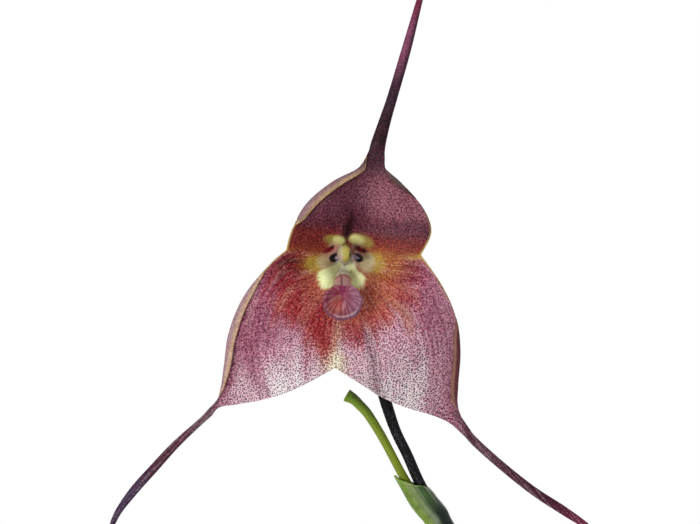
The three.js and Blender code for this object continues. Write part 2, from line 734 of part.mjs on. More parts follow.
// Tube of the floral bract: [x, z, y, half across, half deep, how far its back left edge stands above its
// front right one]
const BRACT = [
  [28.9, -79.1, 3.95, 2.65, 2.7, 0],
  [25.7, -74.2, 3.2, 2.75, 3, 0],
  [23.7, -71.1, 3, 2.75, 3.1, 2],
  [21.9, -68.3, 2.9, 2.65, 3.1, 6.5],
  [20, -65.2, 2.9, 2.3, 2.9, 12],
];

function makeFloralBract() {
  const sides = 14;
  const way = new THREE.Vector3(-0.55, 0, 0.835).normalize();
  const across = new THREE.Vector3(0.835, 0, 0.55).normalize();
  const deep = new THREE.Vector3(0, 1, 0);
  const wall = ([x, z, y, halfAcross, halfDeep, run], grow) => {
    const ring = ringAround(onBloom(x, z, y), sides, across, halfAcross + grow, deep, halfDeep + grow);
    return ring.map((p, i) => p.addScaledVector(way, (-run / 2) * Math.cos((2 * Math.PI * i) / sides + 0.6)));
  };
  const rings = [...BRACT.map((row) => wall(row, 0.6)), ...BRACT.toReversed().map((row) => wall(row, 0))];
  addPiece("floral_bract", toSolid(loft(rings, true)), LOOKS.bract);
}

// Petals, column and lip, in the throat

// Upright rings along rows of [x, z, y, half across, half up].
function bud(rows, sides) {
  const [right, up] = [new THREE.Vector3(1, 0, 0), new THREE.Vector3(0, 0, 1)];
  return rows.map(([x, z, y, across, high]) => ringAround(onBloom(x, z, y), sides, right, across, up, high));
}

// A stubby paddle that stands forward beside the column, with a hollow in its tip.
function makePetal(name, side) {
  const at = (out, z, y, across, up) => [side * out - 0.15, z, y, across, up];
  const rows = [
    at(2.6, 0.2, CUP_FLOOR - 1.9, 0.5, 0.9),
    at(3, 0, 6, 0.7, 1.3),
    at(3.35, -0.4, 4.3, 1.2, 1.75),
    at(3.45, -0.6, 3.2, 1.5, 2),
    at(3.45, -0.7, 2.7, 1.35, 1.85),
    at(3.4, -0.7, 2.9, 0.95, 1.4),
    at(3.3, -0.7, 3.6, 0.5, 0.8),
  ];
  addPiece(name, toSolid(loft(bud(rows, 10))), LOOKS.petal);
}

function makeColumn() {
  const rows = [
    [-0.1, -0.2, CUP_FLOOR - 1.6, 1.1, 1.7],
    [-0.2, -0.5, 6.3, 1.25, 2.4],
    [-0.2, 0.2, 4.4, 1.4, 2.4],
    [-0.2, 0.6, 2.6, 1.5, 2.5],
    [-0.2, 0.9, 1.5, 1.3, 2.1],
    [-0.1, 1.3, 0.8, 0.7, 1.4],
  ];
  addPiece("column", toSolid(loft(bud(rows, 12))), LOOKS.column);
}

// The lip's round blade: a shallow bowl with a raised rim below, notched above, and ribs that fan down
// from the claw's mouth. Every other spoke of its mesh runs along a rib.
function lipPoint(spoke, share, back) {
  const a = Math.PI - (2 * Math.PI * spoke) / LIP.spokes;
  const edge = 1 - 0.12 * Math.exp(-(((a - Math.PI / 2) / 0.3) ** 2));
  const [x, z] = [share * edge * Math.cos(a), mix(LIP.mouth, edge * Math.sin(a), share)];
  const low = (1 - Math.sin(a)) / 2; // one at the bottom of the blade
  const bowl = LIP.bowl * (x ** 2 + z ** 2);
  const rim = LIP.rim * Math.exp(-(((share - 0.86) / 0.16) ** 2)) * (0.3 + 0.7 * low);
  const ribs = spoke % 2 && !back ? LIP.rib * smooth(0.1, 0.5, share) * (1 - smooth(0.86, 1, share)) : 0;
  const depth = LIP.y - bowl - rim - ribs + LIP.tilt * z + back;
  return onBloom(LIP.x + LIP.across * x, LIP.z + LIP.up * z, depth);
}

function makeLip() {
  const shares = [0.16, 0.4, 0.64, 0.86, 1];
  const spokes = Array.from({ length: LIP.spokes }, (_, spoke) => spoke);
  const ring = (share, back) => spokes.map((spoke) => lipPoint(spoke, share, back));
  const face = shares.map((share) => ring(share, 0));
  const reverse = shares.toReversed().map((share) => ring(share, LIP.thick + 0.4 * (1 - share)));
  const claw = [
    [-0.3, -3.9, 5.8, 1.1, 0.7],
    [-0.4, -4.6, 4.6, 1.7, 0.95],
    [-0.5, -6, 2.4, 2.1, 1.15],
    [-0.6, -7.8, 0, 2.15, 1.3],
    [-0.7, -9.2, -2, 1.9, 1.2],
    [-0.75, -10.2, -3, 1.1, 0.8],
  ];
  const lip = toSolid(loft([...face, ...reverse])).add(toSolid(loft(bud(claw, 14))));
  addPiece("lip", lip, LOOKS.lip);
}

makePot();
makeBark();
makeRootstock();
LEAVES.forEach((leaf, k) => {
  const number = String(k + 1).padStart(2, "0");
  makeLeaf(leaf, "leaf_" + number);
  makeSheath(leaf, "leaf_sheath_" + number);
});
addPiece("scape", toSolid(loft(stemRings(SCAPE, 8, 21))), LOOKS.stalk);
for (const [name, bract] of Object.entries(SCAPE_BRACTS)) makeScapeBract(name, bract);
makeFloralBract();
makePedicel();
addPiece("old_stalk", toSolid(loft(stemRings(bloomRows(OLD_STALK), 10, 14))), LOOKS.greenStalk);
makeSepals();
makePetal("petal_left", -1);
makePetal("petal_right", 1);
makeColumn();
makeLip();

export default plant;
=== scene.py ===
import json
import math

import bpy
from mathutils import Matrix, Vector, noise

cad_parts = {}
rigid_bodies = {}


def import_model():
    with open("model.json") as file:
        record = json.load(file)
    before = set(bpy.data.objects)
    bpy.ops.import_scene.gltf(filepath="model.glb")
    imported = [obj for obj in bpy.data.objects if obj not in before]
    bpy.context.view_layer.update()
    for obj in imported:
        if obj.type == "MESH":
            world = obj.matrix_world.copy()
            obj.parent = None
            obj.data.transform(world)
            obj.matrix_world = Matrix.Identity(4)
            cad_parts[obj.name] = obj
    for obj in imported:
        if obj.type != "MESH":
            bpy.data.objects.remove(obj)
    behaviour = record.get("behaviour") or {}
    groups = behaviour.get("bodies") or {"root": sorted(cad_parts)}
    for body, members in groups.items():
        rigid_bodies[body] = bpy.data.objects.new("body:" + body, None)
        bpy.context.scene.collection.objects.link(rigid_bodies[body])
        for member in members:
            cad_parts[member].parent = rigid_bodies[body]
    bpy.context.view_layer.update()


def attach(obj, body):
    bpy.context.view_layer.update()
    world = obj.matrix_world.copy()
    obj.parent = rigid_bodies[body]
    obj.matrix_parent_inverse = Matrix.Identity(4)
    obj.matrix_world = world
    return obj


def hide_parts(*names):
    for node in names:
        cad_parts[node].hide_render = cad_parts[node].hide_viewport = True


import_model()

# A potted orchid: a long-tailed bloom on an arching stalk over a tuft of keeled leaves in a clay pot.
# Shapes are worked out in millimetres and laid down in metres.
mm = 0.001
body = "root"

for cadPiece in bpy.context.scene.objects:
    cadPiece.select_set(False)


# Sums that the shapes share

def mix(a, b, t):
    return a + (b - a) * t


def smooth(low, high, value):
    t = min(1, max(0, (value - low) / (high - low)))
    return t * t * (3 - 2 * t)


def knoll(x, z, middleX, middleZ, reachX, reachZ):  # a round hill, one at its middle
    return math.exp(-(((x - middleX) / reachX) ** 2) - ((z - middleZ) / reachZ) ** 2)


def along(rows, place):  # a smooth reading of rows at a place counted in rows
    last = len(rows) - 1
    i = min(last - 1, max(0, math.floor(place)))
    t = min(1, max(0, place - i))
    a, b, c, d = rows[max(0, i - 1)], rows[i], rows[i + 1], rows[min(last, i + 2)]

    def read(p, q, r, s):
        bend, twist = 2 * p - 5 * q + 4 * r - s, 3 * q - p - 3 * r + s
        return 0.5 * (2 * q + (r - p) * t + bend * t * t + twist * t**3)

    if isinstance(b, (int, float)):
        return read(a, b, c, d)
    return [read(*values) for values in zip(a, b, c, d)]


drawStep, drawEnd = 48271, 2147483647  # the factor and the prime that random numbers come from


def drawFrom(seed):  # the same run of numbers each time
    state = [seed]

    def draw(low, high):
        state[0] = (state[0] * drawStep) % drawEnd
        return low + (high - low) * state[0] / drawEnd

    return draw


def roundTurns(sides):  # the angles of a ring's points
    return [2 * math.pi * i / sides for i in range(sides)]


def ringsOf(stations, sides, spot):  # rings from one end to the other; spot(share, a) is in millimetres
    return [[spot(k / stations, a) * mm for a in roundTurns(sides)] for k in range(stations + 1)]


def tint(red, green, blue):  # a colour as the eye reads it, turned into light
    def line(value):
        share = value / 255
        return share / 12.92 if share <= 0.04045 else ((share + 0.055) / 1.055) ** 2.4

    return (line(red), line(green), line(blue), 1)


def blend(a, b, t):
    return tuple(mix(p, q, t) for p, q in zip(a, b))


# Building

weldGap = 2e-7  # metres; points nearer to each other than this become one
paintKinds = {1: ("FLOAT", "value"), 3: ("FLOAT_VECTOR", "vector"), 4: ("FLOAT_COLOR", "color")}


def pick(piece):
    bpy.ops.object.select_all(action="DESELECT")
    piece.select_set(True)
    bpy.context.view_layer.objects.active = piece


def editAll(piece):
    pick(piece)
    bpy.ops.object.mode_set(mode="EDIT")
    bpy.ops.mesh.select_all(action="SELECT")


def closeUp(piece, capped=True):  # welds what meets, fills what is open and turns faces outwards
    editAll(piece)
    bpy.ops.mesh.remove_doubles(threshold=weldGap)
    if capped:
        bpy.ops.mesh.fill_holes(sides=0)
    bpy.ops.mesh.normals_make_consistent(inside=False)
    bpy.ops.object.mode_set(mode="OBJECT")


def addSkin(name, rows, closed=False, capped=True, paint=None):  # a grid on rows of points, flat or rolled
    count = len(rows[0])
    across = count if closed else count - 1
    up = len(rows) - 1
    bpy.ops.object.select_all(action="DESELECT")
    bpy.ops.mesh.primitive_grid_add(x_subdivisions=across, y_subdivisions=up, size=1)
    skin = bpy.context.object
    skin.name = name
    skin.data.name = name
    cells = []
    for vertex in skin.data.vertices:
        cells.append((round((vertex.co.y + 0.5) * up), round((vertex.co.x + 0.5) * across) % count))
    for vertex, (k, i) in zip(skin.data.vertices, cells):
        vertex.co = rows[k][i]
    if paint:
        layPaint(skin, [paint(k, i) for k, i in cells])
    if closed:
        closeUp(skin, capped)
    return skin


def layPaint(piece, coats):  # each point's named colours and shares, kept as attributes
    for key, first in coats[0].items():
        single = isinstance(first, (int, float))
        kind, field = paintKinds[1 if single else len(first)]
        values = [coat[key] for coat in coats]
        if not single:
            values = [part for value in values for part in value]
        piece.data.attributes.new(key, kind, "POINT").data.foreach_set(field, values)


def addModifier(piece, kind, **settings):
    pick(piece)
    modifier = piece.modifiers.new(kind.title(), kind)
    for key, value in settings.items():
        setattr(modifier, key, value)
    bpy.ops.object.modifier_apply(modifier=modifier.name)


def joinAll(pieces, name):
    bpy.ops.object.select_all(action="DESELECT")
    for piece in pieces:
        piece.select_set(True)
    bpy.context.view_layer.objects.active = pieces[0]
    bpy.ops.object.join()
    joined = bpy.context.object
    joined.name = name
    joined.data.name = name
    return joined


def settle(piece, slot, *nodes, materials=(), sharp=None):  # smooth, dressed and riding where its node was
    pick(piece)
    bpy.ops.object.transform_apply(location=True, rotation=True, scale=True)
    if sharp is None:
        bpy.ops.object.shade_smooth()
    else:
        bpy.ops.object.shade_smooth_by_angle(angle=math.radians(sharp))
    for material in materials:
        piece.data.materials.append(material)
    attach(piece, body)
    if nodes:
        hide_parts(*nodes)
    return piece


# Materials

def startMaterial(name, **sockets):
    material = bpy.data.materials.new(name)
    material.use_nodes = True
    shader = material.node_tree.nodes["Principled BSDF"]
    for socket, value in sockets.items():
        shader.inputs[socket.replace("_", " ")].default_value = value
    return material, shader


def addNode(material, kind, inputs=None, **settings):
    node = material.node_tree.nodes.new("ShaderNode" + kind)
    for key, value in settings.items():
        setattr(node, key, value)
    for socket, value in (inputs or {}).items():
        if isinstance(value, bpy.types.NodeSocket):
            material.node_tree.links.new(value, node.inputs[socket])
        else:
            node.inputs[socket].default_value = value
    return node


def objectPlace(material, stretch=(1, 1, 1)):
    place = addNode(material, "TexCoord").outputs["Object"]
    if stretch == (1, 1, 1):
        return place
    return addNode(material, "Mapping", {"Vector": place, "Scale": stretch}).outputs["Vector"]


def attribute(material, name, output="Color"):
    return addNode(material, "Attribute", attribute_name=name).outputs[output]


def noiseOf(material, place, size, detail=2, roughness=0.5, distortion=0):  # size in millimetres
    settings = {"Vector": place, "Scale": 1 / (size * mm), "Detail": detail}
    settings["Roughness"] = roughness
    settings["Distortion"] = distortion
    return addNode(material, "TexNoise", settings).outputs["Fac"]


def ramp(material, value, low, high, fromLow=0, toHigh=1):  # a soft step from low to high
    inputs = {"Value": value, "From Min": low, "From Max": high, "To Min": fromLow, "To Max": toHigh}
    return addNode(material, "MapRange", inputs, interpolation_type="SMOOTHSTEP").outputs["Result"]


def sum2(material, operation, a, b):
    return addNode(material, "Math", {0: a, 1: b}, operation=operation).outputs["Value"]


def times(material, value, factor):
    return sum2(material, "MULTIPLY", value, factor)


def mixColor(material, share, a, b, kind="MIX"):
    node = addNode(material, "Mix", {0: share, 6: a, 7: b}, data_type="RGBA", blend_type=kind)
    return node.outputs[2]


def stain(material, color, over, value, low, high, strength=1, kind="MIX"):  # over lies where value is high
    share = ramp(material, value, low, high, 0, strength)
    return mixColor(material, share, tint(*color) if isinstance(color, tuple) else color, tint(*over), kind)


def fibreOf(material, stretch, detail=3, way="grain"):  # noise drawn out along a piece's own grain
    inputs = {"Vector": attribute(material, way, "Vector"), "Scale": stretch}
    place = addNode(material, "Mapping", inputs).outputs["Vector"]
    return addNode(material, "TexNoise", {"Vector": place, "Scale": 1, "Detail": detail}).outputs["Fac"]


def dress(material, shader, color, height, depth, strength):  # its colour and its relief, in millimetres
    bump = addNode(material, "Bump", {"Height": height, "Strength": strength, "Distance": depth * mm})
    material.node_tree.links.new(color, shader.inputs["Base Color"])
    material.node_tree.links.new(bump.outputs["Normal"], shader.inputs["Normal"])
    return material


# The bloom's own frame: x to the right, z up, y away from the viewer, from the middle of its face

bloomMiddle = Vector((-38, -22, 500))


def onBloom(x, z, y):
    return (bloomMiddle + Vector((x, y, z))) * mm


# Camera, world and light

view = {
    "from": (1.08, -1.89, -620),  # level with the bloom, straight in front of it
    "pixel": 0.27,  # millimetres of the bloom's plane to one pixel of a 700 pixel picture
    "wide": 700,
    "sensor": 36,
    "near": 0.01,  # metres
}


def makeCamera():
    lens = view["sensor"] * -view["from"][2] / (view["pixel"] * view["wide"])
    bpy.ops.object.camera_add(location=onBloom(*view["from"]), rotation=(math.pi / 2, 0, 0))
    camera = bpy.context.object
    camera.data.sensor_width = view["sensor"]
    camera.data.lens = lens
    camera.data.clip_start = view["near"]
    bpy.context.scene.camera = camera


lights = {
    # where it hangs, its size and its power; each looks at the bloom
    "key": {"at": (-0.75, -1.1, 0.36), "size": 0.6, "power": 10.8},
    "top": {"at": (0.1, -0.5, 1.6), "size": 1.2, "power": 4},
    "back": {"at": (0.5, 1.3, 1.1), "size": 1, "power": 7},
}
fill = 0.37  # strength of the light that comes from all round
white = (1, 1, 1, 1)


def makeLights():
    for name, light in lights.items():
        way = (bloomMiddle * mm - Vector(light["at"])).to_track_quat("-Z", "Y").to_euler()
        bpy.ops.object.light_add(type="AREA", location=light["at"], rotation=way)
        lamp = bpy.context.object
        lamp.name = name
        lamp.data.size = light["size"]
        lamp.data.energy = light["power"]
    world = bpy.data.worlds.new("studio")
    bpy.context.scene.world = world
    world.use_nodes = True
    nodes = world.node_tree.nodes
    links = world.node_tree.links
    seen = nodes.new("ShaderNodeBackground")
    cast = nodes["Background"]
    cast.inputs["Color"].default_value = white
    cast.inputs["Strength"].default_value = fill
    path = nodes.new("ShaderNodeLightPath")
    choose = nodes.new("ShaderNodeMixShader")
    seen.inputs["Color"].default_value = white
    links.new(path.outputs["Is Camera Ray"], choose.inputs[0])
    links.new(cast.outputs[0], choose.inputs[1])
    links.new(seen.outputs[0], choose.inputs[2])
    links.new(choose.outputs[0], nodes["World Output"].inputs["Surface"])
    bpy.context.scene.view_settings.view_transform = "Standard"


floorBuild = {
    "radius": 2.4,
    "below": 0.0005,
    "sides": 96,
    "fadeFrom": 0.5,
    "fadeTo": 2.2,
    "glow": 0.16,
    "cloud": 400,  # millimetres
}


def makeFloor():
    bpy.ops.mesh.primitive_circle_add(
        vertices=floorBuild["sides"],
        radius=floorBuild["radius"],
        fill_type="NGON",
        location=(0, 0, -floorBuild["below"]),
    )
    floor = bpy.context.object
    floor.name = "floor"
    material, shader = startMaterial("paleFloor", Roughness=0.8, Emission_Strength=floorBuild["glow"])
    shade = noiseOf(material, objectPlace(material), floorBuild["cloud"])
    color = mixColor(material, shade, tint(240, 239, 237), tint(245, 244, 242))
    for socket in ("Base Color", "Emission Color"):
        material.node_tree.links.new(color, shader.inputs[socket])
    place = addNode(material, "TexCoord").outputs["Object"]
    out = addNode(material, "VectorMath", {0: place}, operation="LENGTH").outputs["Value"]
    clear = addNode(material, "BsdfTransparent")
    away = ramp(material, out, floorBuild["fadeFrom"], floorBuild["fadeTo"])
    fade = addNode(material, "MixShader", {0: away, 1: shader.outputs[0], 2: clear.outputs[0]})
    output = material.node_tree.nodes["Material Output"]
    material.node_tree.links.new(fade.outputs[0], output.inputs["Surface"])
    floor.data.materials.append(material)


makeCamera()
makeLights()
makeFloor()
print("camera, lights and floor stand")


# Sepals: one skin with a cup in its middle and three tails

sinusLeft = (-16.2, 1.3)
sinusRight = (20.3, 0)
notch = (-3, -30.5)
throat = (0, 0)

sepalBuild = {
    "columns": 112,
    "bodyRows": 84,
    "tailRows": 54,
    "thick": 0.8,
    "thickest": 3,
    "margin": 0.55,  # how much of the thickness is left at a free margin
    "footThick": 0.4,  # how much of the thickness is left at the sinuses, and below at a tail's root
    "rootThick": 0.7,
    "curlTurn": math.radians(155),
    "curlShare": 0.25,  # the most that one roll takes of a row's points
    "curlWidth": 0.35,  # and of its width
    "curlRise": 0.11,  # a full roll would rise by 1, so this one lies nearly flat
    "vein": 0.07,
    "veins": 18,
    "tailArch": 0.225,
    "tailSkin": 0.25,
    "tailBelly": 1.3,
    "tipFrom": 5.2,  # rows of the tail
    "tipLong": 0.8000001,
    "spotSize": 0.54,
    "fineSpotSize": 0.46,
    "blotSize": 0.62,
    "dorsalSpots": 0.95,  # how much larger the dorsal sepal's spots are
}

# Margins run from sinus or notch to the tail; curls are how far each margin rolls forward
dorsal = {
    "left": [sinusLeft, (-14.7, 6.6), (-10.9, 13.4), (-4, 19.2), (2.9, 22.9), (5.8, 27.5)],
    "right": [sinusRight, (23.1, 6.4), (20.7, 13), (15.1, 19), (11, 22.9), (10.5, 26.4)],
    "curls": [[0, 0.9, 3.7, 4.4, 2.4, 1, 0], [0, 0.1, 0.9, 2, 1.4, 0.3, 0]],
    "tail": [
        (8.8, 30.3, 0, 2),
        (10.6, 36.5, 0.6, 1.6),
        (12.6, 42.9, 1.2, 1.4),
        (16.4, 55.9, 3, 1.3),
        (19.9, 68.9, 6, 0.9),
        (22.9, 80, 9.5, 0.65),
        (25.6, 91, 14, 0.4),
    ],
}
lateralLeft = {
    "left": [notch, (-8.6, -33.6), (-15.4, -36.9), (-22.5, -39.1), (-29.5, -40.4), (-34.2, -41.2)],
    "right": [sinusLeft, (-20.6, -2.5), (-27.4, -11), (-31.3, -20.5), (-32.5, -29.5), (-33.9, -37.4)],
    "curls": [[0] * 7, [0, 1.2, 2.5, 3.9, 4.3, 1.6, 0]],
    "tail": [
        (-37, -42.8, 0, 0.95),
        (-39.5, -45.2, 0.2, 0.85),
        (-45.9, -51.1, 1, 1.05),
        (-51.9, -57.6, 2, 1.2),
        (-57.7, -64.1, 3.2, 1.2),
        (-62.6, -71, 5, 0.85),
        (-66, -79.5, 7.5, 0.45),
    ],
}
lateralRight = {
    "left": [sinusRight, (25.9, -8.1), (29.7, -16.6), (30.7, -25.2), (30.1, -34.2), (30.2, -41.2)],
    "right": [notch, (3.2, -34.4), (9.6, -38.4), (16.2, -41.2), (22.6, -43.1), (27.6, -45.2)],
    "curls": [[0, 0.3, 1.3, 2.9, 3.8, 2, 0], [0] * 7],
    "tail": [
        (32.6, -47.9, 0, 1.2),
        (35.4, -51, 0.2, 1.14),
        (42.7, -57.5, 1, 1.12),
        (50.9, -64, 2.2, 1.15),
        (59.2, -69.5, 4, 1.2),
        (67, -75, 6.4, 0.8),
        (73.5, -81.5, 9, 0.45),
    ],
}
bodyEnd = 6  # margin rows before the tail's root


def withTail(sepal):  # adds the tail's two edges to the margins
    left, right, tail = list(sepal["left"]), list(sepal["right"]), sepal["tail"]
    for k, (x, z, _, half) in enumerate(tail):
        before = tail[max(0, k - 1)]
        after = tail[min(len(tail) - 1, k + 1)]
        dx, dz = after[0] - before[0], after[1] - before[1]
        share = half / math.hypot(dx, dz)
        left.append((x - dz * share, z + dx * share))
        right.append((x + dz * share, z - dx * share))
    return {**sepal, "left": left, "right": right}


faceForms = {  # depth behind the face's plane, less than nought for what stands out; then x, z and reach
    "cup": (8.7, [(0, -1, 11.5, 9)]),
    "pads": (-2.6, [(-5, -5.4, 2.8, 4), (4.6, -5.2, 2.8, 4)]),
    "lobes": (-2.6, [(-6, 15, 7, 5.5), (11.5, 15, 7.5, 6)]),
    "crease": (1.2, [(2, 8, 15, 2.4)]),
    "groove": (1.4, [(1.6, 8, 1.6, 4.6)]),
    "hood": (1.6, [(-9, 14, 6, 8)]),
    "swell": (-2.6, [(-18, -22, 12, 13), (17, -24, 12, 14)]),
}
sideFold = {"depth": 0.9, "x": 5.2, "lean": 0.19, "half": 1.1, "from": -16, "to": -24}  # right of the notch
faceRest = 0.6  # depth where no form reaches


def faceDepth(x, z):  # how far each place of the face lies behind its plane
    depth = faceRest
    for height, spots in faceForms.values():
        depth += height * sum(knoll(x, z, *spot) for spot in spots)
    beside = x - sideFold["x"] - sideFold["lean"] * (sideFold["from"] - z)
    crest = sideFold["depth"] * math.exp(-((beside / sideFold["half"]) ** 2))
    return depth + crest * smooth(sideFold["from"], sideFold["to"], z)


cupFloor = faceDepth(*throat)


def skinAt(u):  # how thick the skin is in a row of the body
    foot, root = sepalBuild["footThick"], sepalBuild["rootThick"]
    return sepalBuild["thick"] * mix(foot, 1, smooth(0, 1.5, u)) * mix(1, root, smooth(3.5, 5, u))


def rollPlace(v, width, curls, skin):  # distance from the left margin, and how far the roll lifts it
    turns = [sepalBuild["curlTurn"] * smooth(0, 2.4, curl) + 1e-6 for curl in curls]
    shares = [min(sepalBuild["curlShare"], curl * turn / width) + 1e-6 for curl, turn in zip(curls, turns)]
    rims = []
    for curl, turn, share in zip(curls, turns, shares):
        quarter = min(turn, math.pi / 2)
        inset = share * (1 - quarter / turn)
        edge = mix(sepalBuild["margin"], 1, smooth(0, 0.04, inset))
        rise = sepalBuild["curlRise"] * math.sin(quarter)
        rims.append(curl * math.sin(quarter) + skin * edge * rise / math.hypot(rise, math.cos(quarter)))
    between = (v - shares[0]) / (1 - sum(shares))
    if 0 <= between <= 1:
        return mix(rims[0], width - rims[1], between), 0
    edge = 0 if between < 0 else 1
    turn = turns[edge] * (1 - (1 - v if edge else v) / shares[edge])
    inward = rims[edge] - curls[edge] * math.sin(turn)
    lift = sepalBuild["curlRise"] * curls[edge] * (1 - math.cos(turn))
    return (width - inward if edge else inward), lift


def sepalPoint(sepal, u, v):  # u counts margin rows, v runs from the left margin to the right
    left, right = along(sepal["left"], u), along(sepal["right"], u)
    inTail = smooth(bodyEnd - 1, bodyEnd, u)
    rolled = smooth(0, 0.8, u)
    width = math.hypot(right[0] - left[0], right[1] - left[1])
    widest = sepalBuild["curlWidth"] * width
    curls = [min(widest, max(0, along(rows, min(u, bodyEnd)))) for rows in sepal["curls"]]
    across, lift = rollPlace(v, width, curls, skinAt(u))
    share = min(1, max(0, mix(v, across / width, rolled)))
    fade = max(0, 1 - u / 4) ** 2
    first, last = sepal["left"][0], sepal["right"][0]
    start, end, t = (first, throat, 2 * share) if share < 0.5 else (throat, last, 2 * share - 1)
    taper = math.sqrt(1 - max(0, u - bodyEnd - sepalBuild["tipFrom"]) / sepalBuild["tipLong"])
    spot = []
    for k in range(2):
        bend = mix(start[k], end[k], t) - mix(first[k], last[k], share)
        spot.append(mix(left[k], right[k], 0.5 + (share - 0.5) * taper) + fade * bend)
    x, z = spot
    tailLine = along(sepal["tail"], u - bodyEnd)[2]
    tailRound = sepalBuild["tailArch"] * width * taper * math.sin(math.pi * share)
    veins = sepalBuild["vein"] * math.cos(sepalBuild["veins"] * math.pi * share)
    veins = veins * smooth(0.3, 1.5, u) * smooth(4.6, 3, u) * smooth(0, 0.2, min(share, 1 - share))
    body = faceDepth(x, z) - lift * rolled + veins
    return x, z, mix(body, tailLine - tailRound, inTail)


def sepalThickness(sepal, u, v):
    half = along(sepal["tail"], u - bodyEnd)[3]
    tail = sepalBuild["tailSkin"] + sepalBuild["tailBelly"] * half * math.sin(math.pi * v)
    edge = mix(sepalBuild["margin"], 1, smooth(0, 0.04, min(v, 1 - v)))
    return mix(skinAt(u) * edge, tail, smooth(bodyEnd - 1.5, bodyEnd, u))


# Skins by name: the light ground, the dark spots on it, how much of it they cover, and how fine they are
skinTints = {
    "blade": ((180, 116, 130), (82, 32, 50), 0.55, 1),
    "hood": ((108, 46, 66), (40, 6, 20), 0.6, 1),
    "crown": ((74, 38, 52), (34, 12, 26), 0.56, 1),
    "tail": ((58, 28, 38), (24, 8, 16), 0.56, 1),
    "mauve": ((116, 84, 98), (68, 38, 52), 0.5, 1),
    "plum": ((92, 46, 68), (48, 18, 36), 0.5, 1),
    "violet": ((74, 56, 88), (40, 26, 50), 0.5, 1),
    "aubergine": ((62, 38, 56), (30, 14, 28), 0.5, 1),
    "magenta": ((148, 84, 114), (96, 42, 74), 0.4, 1),
    "wine": ((140, 50, 86), (92, 22, 52), 0.5, 1),
    "roof": ((146, 48, 38), (70, 12, 16), 0.6, 1),
    "ember": ((176, 84, 44), (116, 38, 28), 0.45, 1),
    "wedge": ((50, 0, 18), (34, 0, 12), 0.9, 1),
    "white": ((242, 236, 240), (62, 14, 34), 0.22, 0),
    "pink": ((220, 162, 186), (102, 26, 56), 0.4, 0.35),
    "dots": ((196, 132, 156), (72, 14, 40), 0.5, 0.3),
    "purple": ((190, 114, 140), (90, 20, 50), 0.54, 1),
    "rose": ((208, 108, 112), (118, 8, 36), 0.54, 0.6),
    "red": ((224, 128, 110), (120, 4, 22), 0.64, 0.5),
    "crimson": ((214, 84, 84), (122, 0, 12), 0.73, 0.55),
    "brown": ((120, 32, 26), (54, 0, 4), 0.62, 1),
    "tan": ((196, 136, 110), (134, 62, 56), 0.42, 0.8),
    "rust": ((208, 116, 76), (134, 46, 42), 0.5, 1),
    "cream": ((250, 246, 212), (124, 62, 54), 0.26, 0.2),
    "shade": ((140, 118, 126), (66, 44, 54), 0.36, 0.2),
    "amber": ((172, 112, 46), (128, 64, 32), 0.35, 1),
    "gold": ((186, 156, 54), (154, 114, 40), 0.2, 1),
    "olive": ((156, 138, 66), (130, 106, 46), 0.2, 1),
    "straw": ((216, 216, 142), (198, 192, 112), 0.1, 1),
    "cup": ((196, 184, 140), (182, 160, 116), 0.15, 1),
    "cheek": ((246, 255, 190), (236, 248, 172), 0.1, 1),
    "blood": ((150, 16, 40), (90, 4, 20), 0.5, 1),
    "soot": ((26, 8, 14), (16, 4, 10), 0.5, 1),
    "blush": ((232, 240, 208), (222, 228, 190), 0.1, 1),
    "vellum": ((214, 166, 146), (196, 138, 126), 0.15, 1),
}
skins = {name: (tint(*light), tint(*dark), *shares) for name, (light, dark, *shares) in skinTints.items()}

cheeks = [  # corners of the two pale pads below the column
    [(-1.3, -1.8), (-3.5, -2.9), (-7.3, -4.4), (-7.8, -5.7), (-7.1, -8.1), (-6.2, -9.3), (-3.2, -8.8)]
    + [(-2.9, -6.5), (-2.2, -4.3), (-1.1, -3)],
    [(0.4, -1.8), (1.6, -2.4), (3.2, -4.4), (5, -5.6), (5.3, -6.5), (4.1, -8.8), (2.4, -9.1), (1.1, -8.6)]
    + [(1.1, -5.9), (0.3, -4)],
]
wedgeShape = [(-0.6, 3.6), (0.1, 3.6), (0.6, 4.8), (1.7, 6.2), (2.2, 8.1), (2.1, 10), (1.6, 11.6)]
wedgeShape += [(0.9, 10), (-0.5, 8.1), (-0.8, 6.2)]


def insideOf(corners, x, z, soft):  # one well inside a shape, nought well outside it
    nearest, inside = 1e9, False
    for (ax, az), (bx, bz) in zip(corners, corners[1:] + corners[:1]):
        dx, dz = bx - ax, bz - az
        t = min(1, max(0, ((x - ax) * dx + (z - az) * dz) / (dx * dx + dz * dz)))
        nearest = min(nearest, math.hypot(x - ax - t * dx, z - az - t * dz))
        if (az > z) != (bz > z) and x < ax + (z - az) * dx / dz:
            inside = not inside
    return smooth(-soft, soft, nearest if inside else -nearest)


def patch(x, z, middleX, middleZ, reachX, reachZ, turn=0):  # a soft-edged oval, turned in degrees
    c, s = math.cos(math.radians(turn)), math.sin(math.radians(turn))
    dx, dz = x - middleX, z - middleZ
    return smooth(1.35, 0.65, math.hypot((dx * c + dz * s) / reachX, (dz * c - dx * s) / reachZ))


def dorsalCoats(x, z):
    drift = noise.noise(Vector((x, z, 0)) * 0.3)
    # partly painted shade: the dark hood skin on the left half under the rolled margin, round the groove and
    # in a band along the crease above the roof, over the dorsal's own dark purple
    yield "hood", smooth(7, -1, x - 0.15 * z) * 0.85
    yield "hood", knoll(x, z, 2, 11, 5, 5) * 0.9
    yield "crown", smooth(18, 26, z)
    yield "hood", smooth(11, 7.5, z + drift) * 0.8
    yield "roof", smooth(8.4, 4.6, z + (0.12 * (x - 2) if x < 2 else 0.15 * (x - 2)) + 0.8 * drift)
    yield "ember", smooth(4.6, 1, z + drift) * knoll(x, z, 1, 1, 17, 6) * 0.8
    # the dark wedge down the groove: partly its own colour, partly painted shade in the groove
    yield "wedge", insideOf(wedgeShape, x, z, 0.7)


